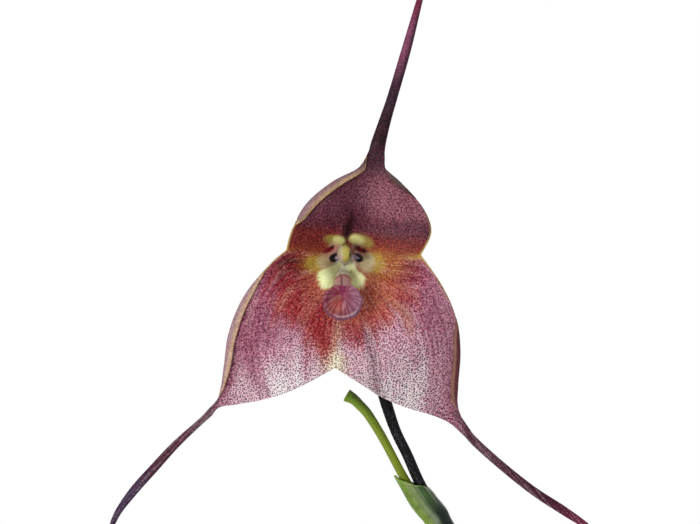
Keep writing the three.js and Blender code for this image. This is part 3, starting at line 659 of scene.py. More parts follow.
laterals = {
    "pole": 84,  # the ray that stays straight
    "fan": 97,
    "centre": -1.9,  # height that the rays leave from
    -1: {
        "from": 16,  # where its rays start to bend towards the tail, and how fast, in degrees a millimetre
        "bend": 2.45,
        "outer": 22,  # the ray where its purple side ends, far out
        "purple": 0.95,
        "fade": (0, 44, 34),
        "red": 22,  # how far out its red reaches, and how much further on the rays near the notch
        "redMore": 4,
        "rust": (15, 9),
        "shade": 0,
    },
    1: {
        "from": 21,
        "bend": 2.35,
        "outer": 34,
        "purple": 0.6,
        "fade": (0.3, 46, 32),
        "red": 20,
        "redMore": 0,
        "rust": (20, 12),
        "shade": 0.3,
    },
}


def rayAt(x, z, side):  # the angle that a lateral's ray leaves the throat at, and the distance along it
    own, down = laterals[side], z - laterals["centre"]
    far = math.hypot(x, down)
    angle = math.degrees(math.atan2(-down, side * x))
    share = min(0.8, max(0, own["bend"] * (far - own["from"])) / laterals["fan"])
    return (angle - laterals["pole"] * share) / (1 - share), far


streaks = {  # ray, half width, where it starts and ends, skin, strength
    -1: [(2, 18, 7, 20, "brown", 1), (4, 2.2, 14, 24, "crimson", 0.5), (12, 2.6, 13, 24, "crimson", 0.6)]
    + [(20, 3, 12, 22, "crimson", 0.75), (26, 4, 13, 22, "tan", 0.2), (34, 5, 15, 21, "crimson", 1)]
    + [(43, 4.6, 16, 22, "crimson", 0.9), (52, 3.4, 12, 22, "tan", 0.3), (64, 5, 12, 22, "crimson", 1)]
    + [(74, 3.4, 16, 24, "crimson", 0.9), (56, 3, 20, 25, "rose", 0.7)],
    1: [(4, 18, 8, 19, "brown", 0.8), (31, 5.5, 13, 20, "rose", 0.9), (41, 5, 10, 26, "tan", 0.8)]
    + [(54, 5, 11, 20, "red", 0.8), (62, 4, 8, 18, "crimson", 0.7), (71, 6, 7, 16, "crimson", 1)]
    + [(80, 4, 13, 23, "crimson", 0.7), (88, 3.4, 17, 22, "crimson", 0.6), (72, 4, 17, 38, "shade", 0.45)],
}


def lateralCoats(x, z, side):
    own = laterals[side]
    ray, far = rayAt(x, z, side)
    wander = noise.noise(Vector((ray * 0.12, far * 0.06, side * 5)))
    fine = noise.noise(Vector((ray * 0.45, far * 0.05, side * 9)))
    outer = mix(44, own["outer"], smooth(24, 38, far)) - 7 * wander
    least, gone, full = own["fade"]
    fades = mix(least, 1, smooth(gone, full, far))
    yield "pink", smooth(40, 26, far + 5 * wander + 2 * fine) * mix(0.9, 0.7, smooth(40, 80, ray))
    yield "pink", smooth(outer + 16, outer - 12, ray) * mix(0.6, 1, fades)
    yield "purple", smooth(outer, outer - 22, ray) * own["purple"] * fades
    redEnd = own["red"] + own["redMore"] * smooth(44, 70, ray)
    yield "red", smooth(redEnd + 4, redEnd - 4, far + 4 * wander + 2.5 * fine) * smooth(14, 24, ray)
    yield "rose", smooth(25, 17, far + 4 * wander + 2.5 * fine) * smooth(24, 14, ray)
    for streak, wide, near, end, name, strength in streaks[side]:
        band = strength * math.exp(-(((ray - streak) / wide) ** 2))
        yield name, band * smooth(near - 3, near + 1, far) * smooth(end + 3, end - 3, far + 2 * fine)
    yield "rust", smooth(*own["rust"], far + 3 * wander + fine) * 0.85
    yield "shade", own["shade"] * smooth(24, 34, far)
    seam = smooth(14, 18, far) * mix(0.22, 1, smooth(21, 29, far))
    yield "cream", smooth(2.6, 0.7, abs(x + 1 - 0.06 * z)) * seam
    yield "cream", smooth(6, 0, math.hypot(x + 3, z + 30)) * 0.7


def cupCoats(x, z):
    yield "amber", 0.6 * patch(x, z, -8.2, -2.4, 4.6, 3.4)
    yield "amber", 0.7 * patch(x, z, 9, -3, 6, 4.4)
    yield "amber", 0.5 * knoll(x, z, -16, 1.2, 3, 0.8) + 0.7 * knoll(x, z, 20, -0.4, 6, 1)
    yield "gold", 0.9 * patch(x, z, -8.4, -2.4, 2.9, 2.3)
    yield "gold", 0.9 * patch(x, z, 7.8, -2.1, 2.8, 2.7)
    yield "gold", 0.7 * knoll(x, z, 20, -0.6, 4, 0.7)
    yield "cup", 0.75 * patch(x, z, -5.6, -1.9, 2.2, 2.3)
    yield "cup", patch(x, z, 5.6, -2, 2.2, 2.7)
    yield "olive", patch(x, z, -3.4, 4.1, 2.5, 1.4, -8)
    yield "olive", patch(x, z, 4.6, 3.8, 3, 1.6, -22)
    yield "straw", patch(x, z, -2, 4, 1.7, 1.2, -8)
    yield "straw", patch(x, z, 2.8, 4.2, 2, 1.3, -16)
    yield "blush", patch(x, z, -0.3, -2.6, 3, 3.2)
    yield "vellum", patch(x, z, -3.3, 1.5, 1.9, 1.7, 20) * 0.8
    yield "vellum", patch(x, z, 3.2, 1.4, 2, 1.6, -20) * 0.8
    yield "blood", patch(x, z, -4.7, 1.5, 1.7, 0.75, 25)
    yield "blood", patch(x, z, 4.1, 1.5, 1.8, 0.75, -22)
    yield "soot", patch(x, z, -4, 2.1, 0.8, 0.36, 25)
    yield "soot", patch(x, z, 3, 2.2, 0.9, 0.34, -30) + patch(x, z, 5, 1.1, 0.7, 0.34, -20)
    for cheek in cheeks:
        yield "cheek", insideOf(cheek, x, z, 0.4)


# the left margins' backs and rims are lighter and the right ones darker: partly their own colour, partly
# painted light and shade
backTints = {  # outer face and rim of each margin that rolls forward; left and right are the dorsal sepal's
    "left": (tint(144, 112, 118), tint(186, 154, 114)),
    "right": (tint(92, 80, 76), tint(92, 62, 60)),
    -1: (tint(168, 134, 140), tint(208, 174, 144)),
    1: (tint(98, 42, 50), tint(128, 88, 70)),
    "middle": tint(126, 92, 96),
    "inner": tint(186, 160, 160),  # rim of the margins that run to the notch
    "sinus": tint(196, 172, 92),
}

tailCoats = {  # skin, and the margin rows over which it comes in
    0: [("tail", 4.6, 6.2), ("aubergine", 6.9, 7.8), ("magenta", 8.1, 9), ("wine", 9.3, 10)],
    -1: [("mauve", 4.6, 6.2), ("plum", 7, 8.2), ("violet", 8.6, 10)],
    1: [("plum", 4.9, 6.4), ("mauve", 6.4, 7.2), ("plum", 7.2, 8.2), ("wine", 9.4, 11)],
}


def sepalCoats(side, u, v, x, z, outer):  # skins and their strengths, in the order that they are laid in
    yield from lateralCoats(x, z, side) if side else dorsalCoats(x, z)
    if math.hypot(x, z) < 34:
        yield from cupCoats(x, z)
    yield "purple", smooth(0.45, 0.75, outer) * smooth(2.4, 4.2, u) * (0.45 if side > 0 else 1)
    if side:
        yield "dots", 0.75 * smooth(3.6, 5, u)
    ahead = 0.8 * smooth(0.6, 1, outer) * smooth(7, 6, u)  # the outer margin changes first
    for name, start, end in tailCoats[side]:
        yield name, smooth(start, end, u + ahead)
    if side == 0:
        # painted shade: the right half of the dorsal tail is darkened as if turned from the light
        yield "aubergine", 0.75 * smooth(0.5, 0.85, v) * smooth(7.4, 8.4, u) * smooth(10.4, 9.4, u)


def sepalBack(side, u, v, outer, light):  # colour of the outer face, and how much of it shows on the rim
    back, rimTint = backTints[side or ("left" if v < 0.5 else "right")]
    edge = min(v, 1 - v)
    inner = side != 0 and outer < 0.5
    rimTint = backTints["inner"] if inner else rimTint
    back = blend(backTints["middle"], back, 0 if inner else smooth(0.3, 0.13, edge) * smooth(0, 0.8, u))
    back = blend(back, rimTint, smooth(0.055, 0.02, edge) if side else 0.8 * smooth(0.06, 0.02, edge))
    back = blend(back, light, smooth(4.4, 5.4, u) if side else smooth(3.3, 4.8, u))
    rim = smooth(0.014, 0.004, edge) * smooth(5.6, 4.6, u) * (0.3 if inner else 1)
    atSinus = smooth(2.2, 0.6, u) * (1 if side == 0 or (v > 0.5) == (side < 0) else 0)
    rimTint = blend(rimTint, backTints["sinus"], atSinus)
    return blend(back, rimTint, max(rim, smooth(1, 0.4, u) * smooth(0.12, 0.02, edge))), rim


def paintSepal(side, u, v, x, z):
    outer = 0 if side == 0 else v if side < 0 else 1 - v  # nought at the inner margin, one at the outer one
    light, dark, share, fine = skins["white" if side else "blade"]
    for name, weight in sepalCoats(side, u, v, x, z, outer):
        if weight > 0:
            weight = min(1, weight)
            nextLight, nextDark, nextShare, nextFine = skins[name]
            light, dark = blend(light, nextLight, weight), blend(dark, nextDark, weight)
            share, fine = mix(share, nextShare, weight), mix(fine, nextFine, weight)
    back, rim = sepalBack(side, u, v, outer, light)
    reach = math.sqrt(-math.log(1 - min(share, 0.97)) / math.pi)  # spots of this radius cover the share
    streak = (40 * v, 3 * u, 7)  # across and along the fibres
    if side:
        ray, far = rayAt(x, z, side)
        streak = (ray * 0.31 + 90 * side, 26 * math.log(far + 12), side)
    size = 1 if side else sepalBuild["dorsalSpots"]
    weave = (x / size, z / size, side)
    coat = {"ground": light, "spots": dark, "reach": reach, "fine": fine, "back": back, "rim": rim}
    return {**coat, "weave": weave, "streak": streak, "lined": 1.0 if side else 0.12}


def makeSepals():
    body, tail, columns = sepalBuild["bodyRows"], sepalBuild["tailRows"], sepalBuild["columns"]
    sheets = []
    for side, sepal in ((0, dorsal), (-1, lateralLeft), (1, lateralRight)):
        sepal = withTail(sepal)
        us = [bodyEnd * k / body for k in range(body)] + [bodyEnd * (1 + k / tail) for k in range(tail + 1)]
        spots = [[sepalPoint(sepal, u, i / columns) for i in range(columns + 1)] for u in us]

        def paint(k, i):
            x, z, _ = spots[k][i]
            return paintSepal(side, us[k], i / columns, x, z)

        sheet = addSkin("sheet", [[onBloom(*spot) for spot in row] for row in spots], paint=paint)
        group = sheet.vertex_groups.new(name="thickness")
        for vertex in sheet.data.vertices:
            k, i = divmod(vertex.index, columns + 1)
            share = sepalThickness(sepal, us[k], i / columns) / sepalBuild["thickest"]
            group.add([vertex.index], share, "REPLACE")
        sheets.append(sheet)
    bloom = joinAll(sheets, "sepalSkin")
    for material in (sepalFaceMaterial(), sepalBackMaterial()):
        bloom.data.materials.append(material)
    editAll(bloom)
    bpy.ops.mesh.remove_doubles(threshold=weldGap)
    bpy.ops.object.mode_set(mode="OBJECT")
    addModifier(
        bloom,
        "SOLIDIFY",
        thickness=sepalBuild["thickest"] * mm,
        offset=-1,
        vertex_group="thickness",
        material_offset=1,
        material_offset_rim=1,
    )
    settle(bloom, "sepal", "sepals")


def spotCells(material, place, size):  # the distance to the nearest spot, and a number of its own for each
    settings = {"Vector": place, "Scale": 1 / size, "Randomness": 0.92}
    cell = addNode(material, "TexVoronoi", settings, voronoi_dimensions="2D")
    own = addNode(material, "SeparateColor", {"Color": cell.outputs["Color"]}).outputs["Red"]
    return cell.outputs["Distance"], own


def sepalFaceMaterial():
    material, shader = startMaterial("sepalFace", Roughness=0.5, Specular_IOR_Level=0.12)
    place = objectPlace(material)
    weave = attribute(material, "weave", "Vector")
    wobble = addNode(material, "TexNoise", {"Vector": weave, "Scale": 1, "Detail": 1}).outputs["Color"]
    wobble = addNode(material, "VectorMath", {0: wobble, 1: (0.5, 0.5, 0.5)}, operation="SUBTRACT").outputs[0]
    wobble = addNode(material, "VectorMath", {0: wobble, "Scale": 0.4}, operation="SCALE").outputs[0]
    bent = addNode(material, "VectorMath", {0: weave, 1: wobble}, operation="ADD").outputs[0]
    lines = fibreOf(material, (1.5, 0.14, 1), way="streak")
    lines = times(material, ramp(material, lines, 0.3, 0.7, -1, 1), attribute(material, "lined", "Fac"))
    reach = attribute(material, "reach", "Fac")
    coarse, own = spotCells(material, bent, sepalBuild["spotSize"])
    fine, _ = spotCells(material, bent, sepalBuild["fineSpotSize"])
    lined = times(material, reach, ramp(material, lines, -1, 1, 0.9, 1.12))
    coarse = ramp(material, sum2(material, "SUBTRACT", lined, coarse), -0.06, 0.06)
    fine = ramp(material, sum2(material, "SUBTRACT", reach, fine), -0.1, 0.1, 0, 0.46)
    blots = {"Vector": weave, "Scale": 1 / sepalBuild["blotSize"], "Detail": 2, "Roughness": 0.6}
    blots = addNode(material, "TexNoise", blots).outputs["Fac"]
    fine = sum2(material, "ADD", fine, ramp(material, blots, 0.44, 0.57, 0, 0.42))
    fine = sum2(material, "ADD", fine, ramp(material, lines, -0.6, 0.7, 0, 0.16))
    fineShare = attribute(material, "fine", "Fac")
    spot = addNode(material, "Mix", {0: fineShare, 2: coarse, 3: fine}, data_type="FLOAT").outputs[0]
    apart = ramp(material, fineShare, 0, 1, 0.75, 0.15)
    pinker = times(material, ramp(material, own, 0.5, 1), apart)
    greyer = times(material, ramp(material, own, 0.4, 0), apart)
    dark = mixColor(material, pinker, attribute(material, "spots"), tint(150, 30, 70))
    dark = mixColor(material, greyer, dark, tint(60, 54, 62))
    light = attribute(material, "ground")
    light = stain(material, light, (235, 210, 200), lines, 0.2, -0.8, 0.2)
    color = mixColor(material, spot, light, dark)
    mottle = noiseOf(material, place, 2.6, detail=3)
    color = stain(material, color, (120, 40, 60), mottle, 0.3, 0.7, 0.16, "MULTIPLY")
    color = mixColor(material, attribute(material, "rim", "Fac"), color, attribute(material, "back"))
    grit = noiseOf(material, place, 0.35, detail=1)
    height = sum2(material, "ADD", times(material, spot, 0.35), grit)
    height = sum2(material, "ADD", height, times(material, lines, 0.3))
    return dress(material, shader, color, height, 0.1, 0.8)


def sepalBackMaterial():
    material, shader = startMaterial("sepalBack", Roughness=0.6, Specular_IOR_Level=0.3)
    place = objectPlace(material)
    grain = noiseOf(material, place, 0.8, detail=4)
    lines = fibreOf(material, (0.9, 0.05, 1), 2, "streak")
    color = attribute(material, "back")
    color = stain(material, color, (150, 96, 100), grain, 0.35, 0.65, 0.4, "MULTIPLY")
    color = stain(material, color, (120, 66, 70), lines, 0.52, 0.64, 0.45, "MULTIPLY")
    color = stain(material, color, (196, 176, 160), grain, 0.62, 0.72, 0.3)
    return dress(material, shader, color, sum2(material, "ADD", grain, lines), 0.14, 0.7)


makeSepals()
print("sepals are grown")


# Round forms that grow along a line

def frameAt(path, place, side):  # a point of a path, its way, and a side carried on from the last one
    reach = 0.02
    here = along(path, place)
    way = (Vector(along(path, place + reach)[:3]) - Vector(along(path, place - reach)[:3])).normalized()
    side = (side - way * side.dot(way)).normalized()
    return Vector(here[:3]), here[3], side, way.cross(side)


def stemRows(path, stations, sides, form=None):  # path rows are x, y, z, radius; form(share, angle) scales it
    side = Vector((1, 0, 0))
    rows = []
    for k in range(stations + 1):
        share = k / stations
        middle, radius, side, up = frameAt(path, share * (len(path) - 1), side)
        ring = []
        for a in roundTurns(sides):
            reach = radius * (form(share, a) if form else 1)
            ring.append((middle + side * math.cos(a) * reach + up * math.sin(a) * reach) * mm)
        rows.append(ring)
    return rows


def bloomPath(rows):  # rows of x, z, y, radius in the bloom's frame
    return [[*(bloomMiddle + Vector((x, y, z))), radius] for x, z, y, radius in rows]


def budRows(rows, stations, sides, form=None):  # upright rings; rows are x, z, y, half across, half up
    def spot(share, a):
        x, z, y, across, up = along(rows, share * (len(rows) - 1))
        reach = form(share, a) if form else 1
        return bloomMiddle + Vector((x + across * math.cos(a) * reach, y, z + up * math.sin(a) * reach))

    return ringsOf(stations, sides, spot)


def grainPaint(rows, turns=1.0):  # a place on a stem's skin: round it and along it, so that streaks follow it
    lengths = [0]
    for before, after in zip(rows, rows[1:]):
        lengths.append(lengths[-1] + (after[0] - before[0]).length / mm)
    count = len(rows[0])

    def paint(k, i):
        a = 2 * math.pi * i / count
        return {"grain": (math.cos(a) * turns, math.sin(a) * turns, lengths[k])}

    return paint


# Stalks behind the bloom, the bract that they come out of, and the flower stalk below it

pedicelRows = [
    (25.9, -72.8, 2.9, 0.95),
    (23.9, -69.2, 2.6, 1.05),
    (22.1, -65.5, 2.5, 1.3),
    (19.45, -60.7, 2.8, 1.42),
    (16.65, -54.3, 3.5, 1.42),
    (13.5, -47.8, 4.2, 1.44),
    (11, -40.5, 6.2, 1.6),
    (8.5, -31, 10.4, 1.8),
    (6, -21.5, 14.8, 1.9),
    (3.8, -13.5, 18, 2.2),
    (1.8, -6.6, 18.9, 2.5),
    (0.5, -1.6, 16.6, 2.5),
    (0, 0, 13, 2.3),
    (0, 0.3, cupFloor + 1.2, 1.9),
]
oldStalkRows = [
    (24.3, -74.1, 3.4, 0.95),
    (20.2, -67.5, 3.7, 1.05),
    (16, -60.8, 2.7, 1.15),
    (12.5, -54.3, 1, 1.15),
    (9, -47.8, 0, 1.2),
    (5.8, -42.8, -0.8, 1.28),
    (3.5, -40.2, -1.1, 1.36),
    (1.75, -38.65, -1.3, 1.5),
    (0.3, -37.8, -1.4, 1.8),
]
scapePath = [
    (17, 5, 102, 2.1),
    (19, 6, 170, 2.0),
    (21, 6, 240, 1.95),
    (21, 3, 308, 1.9),
    (15.5, -4, 362, 1.9),
    (5, -12, 400, 1.9),
    (-5.5, -17, 415.5, 1.95),
    (-12.5, -19, 426, 2.3),
]
stalkBuild = {"ribs": 6, "rib": 0.11, "groove": 0.05, "wart": 0.035, "lip": 0.35, "pith": 0.5, "twist": 30}


def makePedicel():
    def form(share, a):  # six ribs round the ovary, and warts all along
        ribbed = smooth(0.62, 0.73, share) * smooth(1, 0.92, share)
        wart = noise.noise(Vector((math.cos(a) * 3, math.sin(a) * 3, share * 160)))
        rib = (stalkBuild["rib"] * math.cos(stalkBuild["ribs"] * a) - stalkBuild["groove"]) * ribbed
        return 1 + rib + stalkBuild["wart"] * wart

    rows = stemRows(bloomPath(pedicelRows), 260, 48, form)
    pedicel = addSkin("pedicelSkin", rows, closed=True, paint=grainPaint(rows))
    settle(pedicel, "dark_stalk", "pedicel_and_ovary", materials=[darkStalkMaterial()])


def makeOldStalk():  # cut off at its joint, where a soft rim stands round the hollow pith
    def form(share, a):
        return 1 + 0.02 * math.cos(5 * a + stalkBuild["twist"] * share)

    rows = stemRows(bloomPath(oldStalkRows), 150, 40, form)
    end = rows[-1]
    middle = sum(end, Vector()) / len(end)
    way = (middle - sum(rows[-2], Vector()) / len(end)).normalized()
    for inset, rise in ((0.93, 0.12), (0.8, 0.1), (0.62, -stalkBuild["lip"]), (0.3, -stalkBuild["pith"])):
        rows.append([middle + (point - middle) * inset + way * rise * mm for point in end])
    grain = grainPaint(rows)
    middles = [sum(row, Vector()) / len(row) for row in rows]

    def paint(k, i):
        # painted shade: darker on the right side and towards the cut end
        right = smooth(-0.6, 0.7, (rows[k][i] - middles[k]).x / (1.3 * mm)) * smooth(0.35, 0.8, k / len(rows))
        color = blend(tint(124, 130, 20), tint(112, 146, 32), k / len(rows))
        return {**grain(k, i), "ground": color, "shadeAndMottle": right}

    stalk = addSkin("oldStalkSkin", rows, closed=True, paint=paint)
    settle(stalk, "green_stalk", "old_stalk", materials=[greenStalkMaterial()])


def makeScape():
    def form(share, a):
        return 1 + 0.025 * noise.noise(Vector((math.cos(a) * 2, math.sin(a) * 2, share * 40)))

    rows = stemRows(scapePath, 320, 28, form)
    scape = addSkin("scapeSkin", rows, closed=True, paint=grainPaint(rows, 2.0))
    settle(scape, "stalk", "scape", materials=[scapeMaterial()])


scapeBracts = {  # where each starts and ends in rows of the path, and which way its tip points
    "lower": (0.55, 0.9, 1),
    "middle": (1.75, 2.08, 4),
    "upper": (3.1, 3.42, 2),
}
bractBuild = {
    "wall": 0.55,
    "room": 1.2,  # how far it stands off the stalk, with its belly and its flare
    "belly": 0.5,
    "flare": 0.2,
    "slant": 0.05,
    "ribs": 14,
    "rib": 0.012,
    "stations": 40,
    "sides": 56,
}


def makeScapeBract(name, start, end, tip):
    def spot(share, a):
        grow = bractBuild["room"] + bractBuild["belly"] * math.sin(math.pi * share)
        grow += bractBuild["flare"] * share
        lean = math.cos(a - tip) + 0.25 * math.cos(9 * a) ** 2
        rise = smooth(0.45, 1, share) * bractBuild["slant"] * lean
        middle, radius, side, up = frameAt(scapePath, mix(start, end, share) + rise, Vector((1, 0, 0)))
        rib = 1 + bractBuild["rib"] * math.cos(bractBuild["ribs"] * a)
        return middle + (side * math.cos(a) + up * math.sin(a)) * (radius + grow) * rib

    rows = ringsOf(bractBuild["stations"], bractBuild["sides"], spot)
    bract = addSkin("scapeBract" + name.title(), rows, closed=True, capped=False, paint=grainPaint(rows, 3.0))
    addModifier(bract, "SOLIDIFY", thickness=bractBuild["wall"] * mm, offset=-1)
    settle(bract, "bract", "scape_bract_" + name, materials=[dryBractLook])


floralBractRows = [  # x, z, y, half across, half deep, how far its left edge stands above its right one
    (28.9, -79.1, 3.95, 2.6, 2.7, 0),
    (25.7, -73.8, 3.3, 2.4, 2.8, 0),
    (24.3, -70.8, 3, 2.35, 2.9, 0.3),
    (22.5, -68.6, 2.9, 2.5, 3, 1.5),
    (20.9, -66.5, 2.9, 2.45, 3, 3.2),
    (19.5, -64.2, 2.9, 2.25, 2.8, 5),
    (18, -61.9, 2.9, 1.95, 2.5, 7),
]


floralBract = {
    "way": Vector((-0.55, 0, 0.835)),  # up the bract
    "across": Vector((0.835, 0, 0.55)),
    "deep": Vector((0, 1, 0)),
    "wall": 0.6,
    "ribs": 14,
    "rib": 0.04,
    "keel": 0.45,
    "keelAt": 5.1,
    "tip": 0.9,
    "stations": 72,
    "sides": 84,
}


def makeFloralBract():
    stations, sides = floralBract["stations"], floralBract["sides"]
    turns = roundTurns(sides)

    def spot(share, a):
        x, z, y, halfAcross, halfDeep, run = along(floralBractRows, share * (len(floralBractRows) - 1))
        tip = floralBract["tip"] * math.exp(-(((a - math.pi) / 0.3) ** 2)) * smooth(0.8, 1, share)
        lift = -run / 2 * math.cos(a) + tip
        rib = floralBract["rib"] * math.cos(floralBract["ribs"] * a) * smooth(0, 0.2, share)
        keel = floralBract["keel"] * math.exp(-(((a - floralBract["keelAt"]) / 0.35) ** 2))
        grow = floralBract["wall"] + rib + keel * smooth(0.3, 0.7, share)
        flat = floralBract["across"] * math.cos(a) * (halfAcross + grow)
        flat += floralBract["deep"] * math.sin(a) * (halfDeep + grow)
        return bloomMiddle + Vector((x, y, z)) + flat + floralBract["way"] * lift

    rows = ringsOf(stations, sides, spot)
    grain = grainPaint(rows, 3.2)

    def paint(k, i):
        a, share = turns[i], k / stations
        # painted light and shade: a lighter green on the left and dark teal on the right, partly the bract's
        # own darker colour
        crease = math.cos(a) - mix(0.2, -0.05, share)
        right = smooth(-0.06, 0.12, crease) * smooth(1, 0.96, share) * smooth(0.7, -0.2, math.sin(a))
        left = smooth(-0.3, -0.8, math.cos(a))
        color = blend(tint(104, 122, 60), tint(114, 142, 44), left)
        waxy = 0.5 * smooth(0.3, 0.1, abs(crease + 0.15)) * smooth(0.7, 0.3, share)
        color = blend(color, tint(116, 132, 130), waxy)
        shade = blend(tint(8, 26, 28), tint(60, 90, 40), smooth(0.3, 0.9, share))
        color = blend(color, shade, 0.96 * right)
        return {**grain(k, i), "ground": blend(color, tint(130, 160, 70), smooth(0.95, 1, share))}

    bract = addSkin("floralBractSkin", rows, closed=True, capped=False, paint=paint)
    addModifier(bract, "SOLIDIFY", thickness=floralBract["wall"] * mm, offset=-1)
    settle(bract, "bract", "floral_bract", materials=[freshBractMaterial()])


def darkStalkMaterial():  # charcoal skin with pale specks
    material, shader = startMaterial("darkStalk", Roughness=0.62, Specular_IOR_Level=0.15)
    place = objectPlace(material)
    cloud = noiseOf(material, place, 2.5, detail=3)
    color = stain(material, (3, 3, 6), (24, 22, 29), cloud, 0.3, 0.7)
    speck = noiseOf(material, place, 0.42, detail=2, roughness=0.7)
    color = stain(material, color, (124, 122, 132), speck, 0.56, 0.72, 0.5)
    return dress(material, shader, color, speck, 0.14, 0.9)


def greenStalkMaterial():
    material, shader = startMaterial("greenStalk", Roughness=0.42, Specular_IOR_Level=0.25)
    streak = fibreOf(material, (3, 3, 0.22))
    fine = noiseOf(material, objectPlace(material), 0.35, detail=2)
    color = stain(material, attribute(material, "ground"), (96, 112, 30), streak, 0.35, 0.65, 0.4)
    shadeAndMottle = attribute(material, "shadeAndMottle", "Fac")
    # painted shade on the right side towards the cut end, where the dark mottling specks also gather
    color = mixColor(material, times(material, shadeAndMottle, 0.75), color, tint(46, 60, 18))
    shadeAndMottle = sum2(material, "ADD", times(material, shadeAndMottle, 0.7), 0.2)
    speck = times(material, ramp(material, fine, 0.5, 0.62), shadeAndMottle)
    color = mixColor(material, speck, color, tint(30, 32, 16))
    return dress(material, shader, color, streak, 0.12, 0.6)


def scapeMaterial():
    material, shader = startMaterial("scapeGreen", Roughness=0.45, Specular_IOR_Level=0.4)
    streak = fibreOf(material, (2, 2, 0.08), 4)
    fine = noiseOf(material, objectPlace(material), 0.5, detail=2)
    color = stain(material, (58, 74, 38), (104, 122, 60), streak, 0.35, 0.65)
    color = stain(material, color, (66, 40, 40), fine, 0.5, 0.7, 0.6)
    return dress(material, shader, color, streak, 0.15, 0.6)


def dryBractMaterial():  # papery, green and brown mixed in clouds
    material, shader = startMaterial("dryBract", Roughness=0.7, Specular_IOR_Level=0.35)
    vein = fibreOf(material, (2.6, 2.6, 0.06))
    cloud = noiseOf(material, objectPlace(material), 3, detail=3)
    young = stain(material, (118, 140, 84), (150, 166, 112), vein, 0.35, 0.65)
    old = stain(material, (122, 108, 66), (168, 150, 102), vein, 0.35, 0.65)
    color = mixColor(material, ramp(material, cloud, 0.35, 0.65, 0.4, 0.9), young, old)
    return dress(material, shader, color, vein, 0.2, 0.7)


def freshBractMaterial():  # a waxy bloom over green
    material, shader = startMaterial("freshBract", Roughness=0.5, Specular_IOR_Level=0.4)
    vein = fibreOf(material, (2.6, 2.6, 0.06))
    cloud = noiseOf(material, objectPlace(material), 2.2, detail=3)
    color = attribute(material, "ground")
    color = stain(material, color, (170, 190, 136), vein, 0.5, 0.7, 0.12)
    color = stain(material, color, (54, 74, 36), vein, 0.5, 0.3, 0.3, "MULTIPLY")
    color = stain(material, color, (150, 160, 110), cloud, 0.4, 0.7, 0.5, "MULTIPLY")
    return dress(material, shader, color, vein, 0.16, 0.7)


makePedicel()
makeOldStalk()
makeScape()
dryBractLook = dryBractMaterial()
for name, (start, end, tip) in scapeBracts.items():
    makeScapeBract(name, start, end, tip)
makeFloralBract()
print("stalks and bracts are grown")


# The small parts in the throat: two petals, the column and the lip

petalBuild = {
    "shift": {-1: 0.25, 1: -0.15},
    "stations": 36,
    "sides": 48,
    # how far out it stands, then z, y, half across, half up
    "rows": [
        (2.6, 0.2, cupFloor - 1.9, 0.5, 0.9),
        (3, 0, 6, 0.7, 1.3),
        (3.25, -0.5, 4.3, 1.2, 1.3),
        (3.3, -0.7, 3.2, 1.45, 1.35),
        (3.3, -0.8, 2.7, 1.3, 1.2),
        (3.3, -0.8, 2.9, 0.98, 0.9),
        (3.2, -0.8, 3.6, 0.5, 0.5),
    ],
}


def makePetal(name, side):
    shift = petalBuild["shift"][side]
    rows = [(side * out + shift, z, y, across, up) for out, z, y, across, up in petalBuild["rows"]]
    stations, sides = petalBuild["stations"], petalBuild["sides"]
    skin = budRows(rows, stations, sides, lambda share, a: 1 + 0.14 * math.cos(2 * a + side * 1.1))

    def paint(k, i):
        x, _, z = skin[k][i] / mm - bloomMiddle
        out = side * (x - shift)
        color = blend(tint(196, 152, 148), tint(24, 12, 14), smooth(0.5, 0.6, k / stations))
        # painted highlight: a pale patch inside the dark hollow of the petal
        color = blend(color, tint(164, 136, 146), patch(out, z, 2.15, -0.8, 0.95, 0.85))
        return {"ground": blend(color, tint(120, 84, 92), 0.8 * patch(out, z, 2.5, -1.5, 0.5, 0.3))}

    petal = addSkin("petalSkin" + name.title(), skin, closed=True, paint=paint)
    settle(petal, "petal", "petal_" + name, materials=[waxMaterial("petalWax" + name.title(), 0.35)])


columnRows = [
    (-0.1, -0.2, cupFloor - 1.6, 1.1, 1.7),
    (-0.3, -0.5, 6.3, 1.35, 2.4),
    (-0.45, 0.2, 4.4, 1.65, 2.4),
    (-0.5, 0.6, 2.6, 1.9, 2.5),
    (-0.4, 0.8, 1.5, 1.65, 2.25),
    (-0.25, 1, 0.9, 1.05, 1.65),
    (-0.1, 1.1, 0.75, 0.35, 0.6),
]


def makeColumn():
    stations, sides = 48, 64
    rows = budRows(columnRows, stations, sides)

    def paint(k, i):
        x, _, z = rows[k][i] / mm - bloomMiddle
        color = blend(tint(178, 158, 144), tint(168, 152, 116), smooth(-1.6, 1, z))
        streak = smooth(1.2, 0.85, abs(x - 0.1 + 0.08 * z)) * smooth(-2.2, -1.6, z)
        color = blend(color, blend(tint(176, 164, 76), tint(128, 116, 58), smooth(1.4, 2.8, z)), streak)
        # painted shade: a dark slit on the column, which the mesh does not open
        slitShade = knoll(x, z, 1.15, 0, 0.2, 0.7)
        return {"ground": blend(color, tint(46, 34, 30), min(1, 1.3 * slitShade))}

    column = addSkin("columnSkin", rows, closed=True, paint=paint)
    settle(column, "column", "column", materials=[waxMaterial("columnWax", 0.38)])


lipBuild = {
    "x": -0.9, "z": -12.6, "y": -3.6,
    "across": 5.35,
    "up": 4.9,
    "spokes": 216,
    "rings": 44,
    "mouth": 0.45,  # how far above its middle the ribs meet, counted in its half height
    "bowl": 2.2,
    "rim": 0.7,
    "ribs": 18,
    "rib": 0.26,
    "tilt": 1.6,
    "thick": 1,
}
clawRows = [
    (-0.6, -4.6, 5.6, 1, 0.5),
    (-0.7, -5, 4.6, 1.7, 0.8),
    (-0.8, -6.2, 2.4, 2.15, 1.1),
    (-0.8, -7.8, 0, 2.15, 1.3),
    (-0.8, -9.2, -2, 1.9, 1.2),
    (-0.85, -10.2, -3, 1.1, 0.8),
]


def lipCrest(a):  # one on a rib of the lip, nought between two
    sway = a + 0.1 * math.sin(5 * a)
    return (1 - math.cos(lipBuild["ribs"] * (math.pi - sway))) / 2


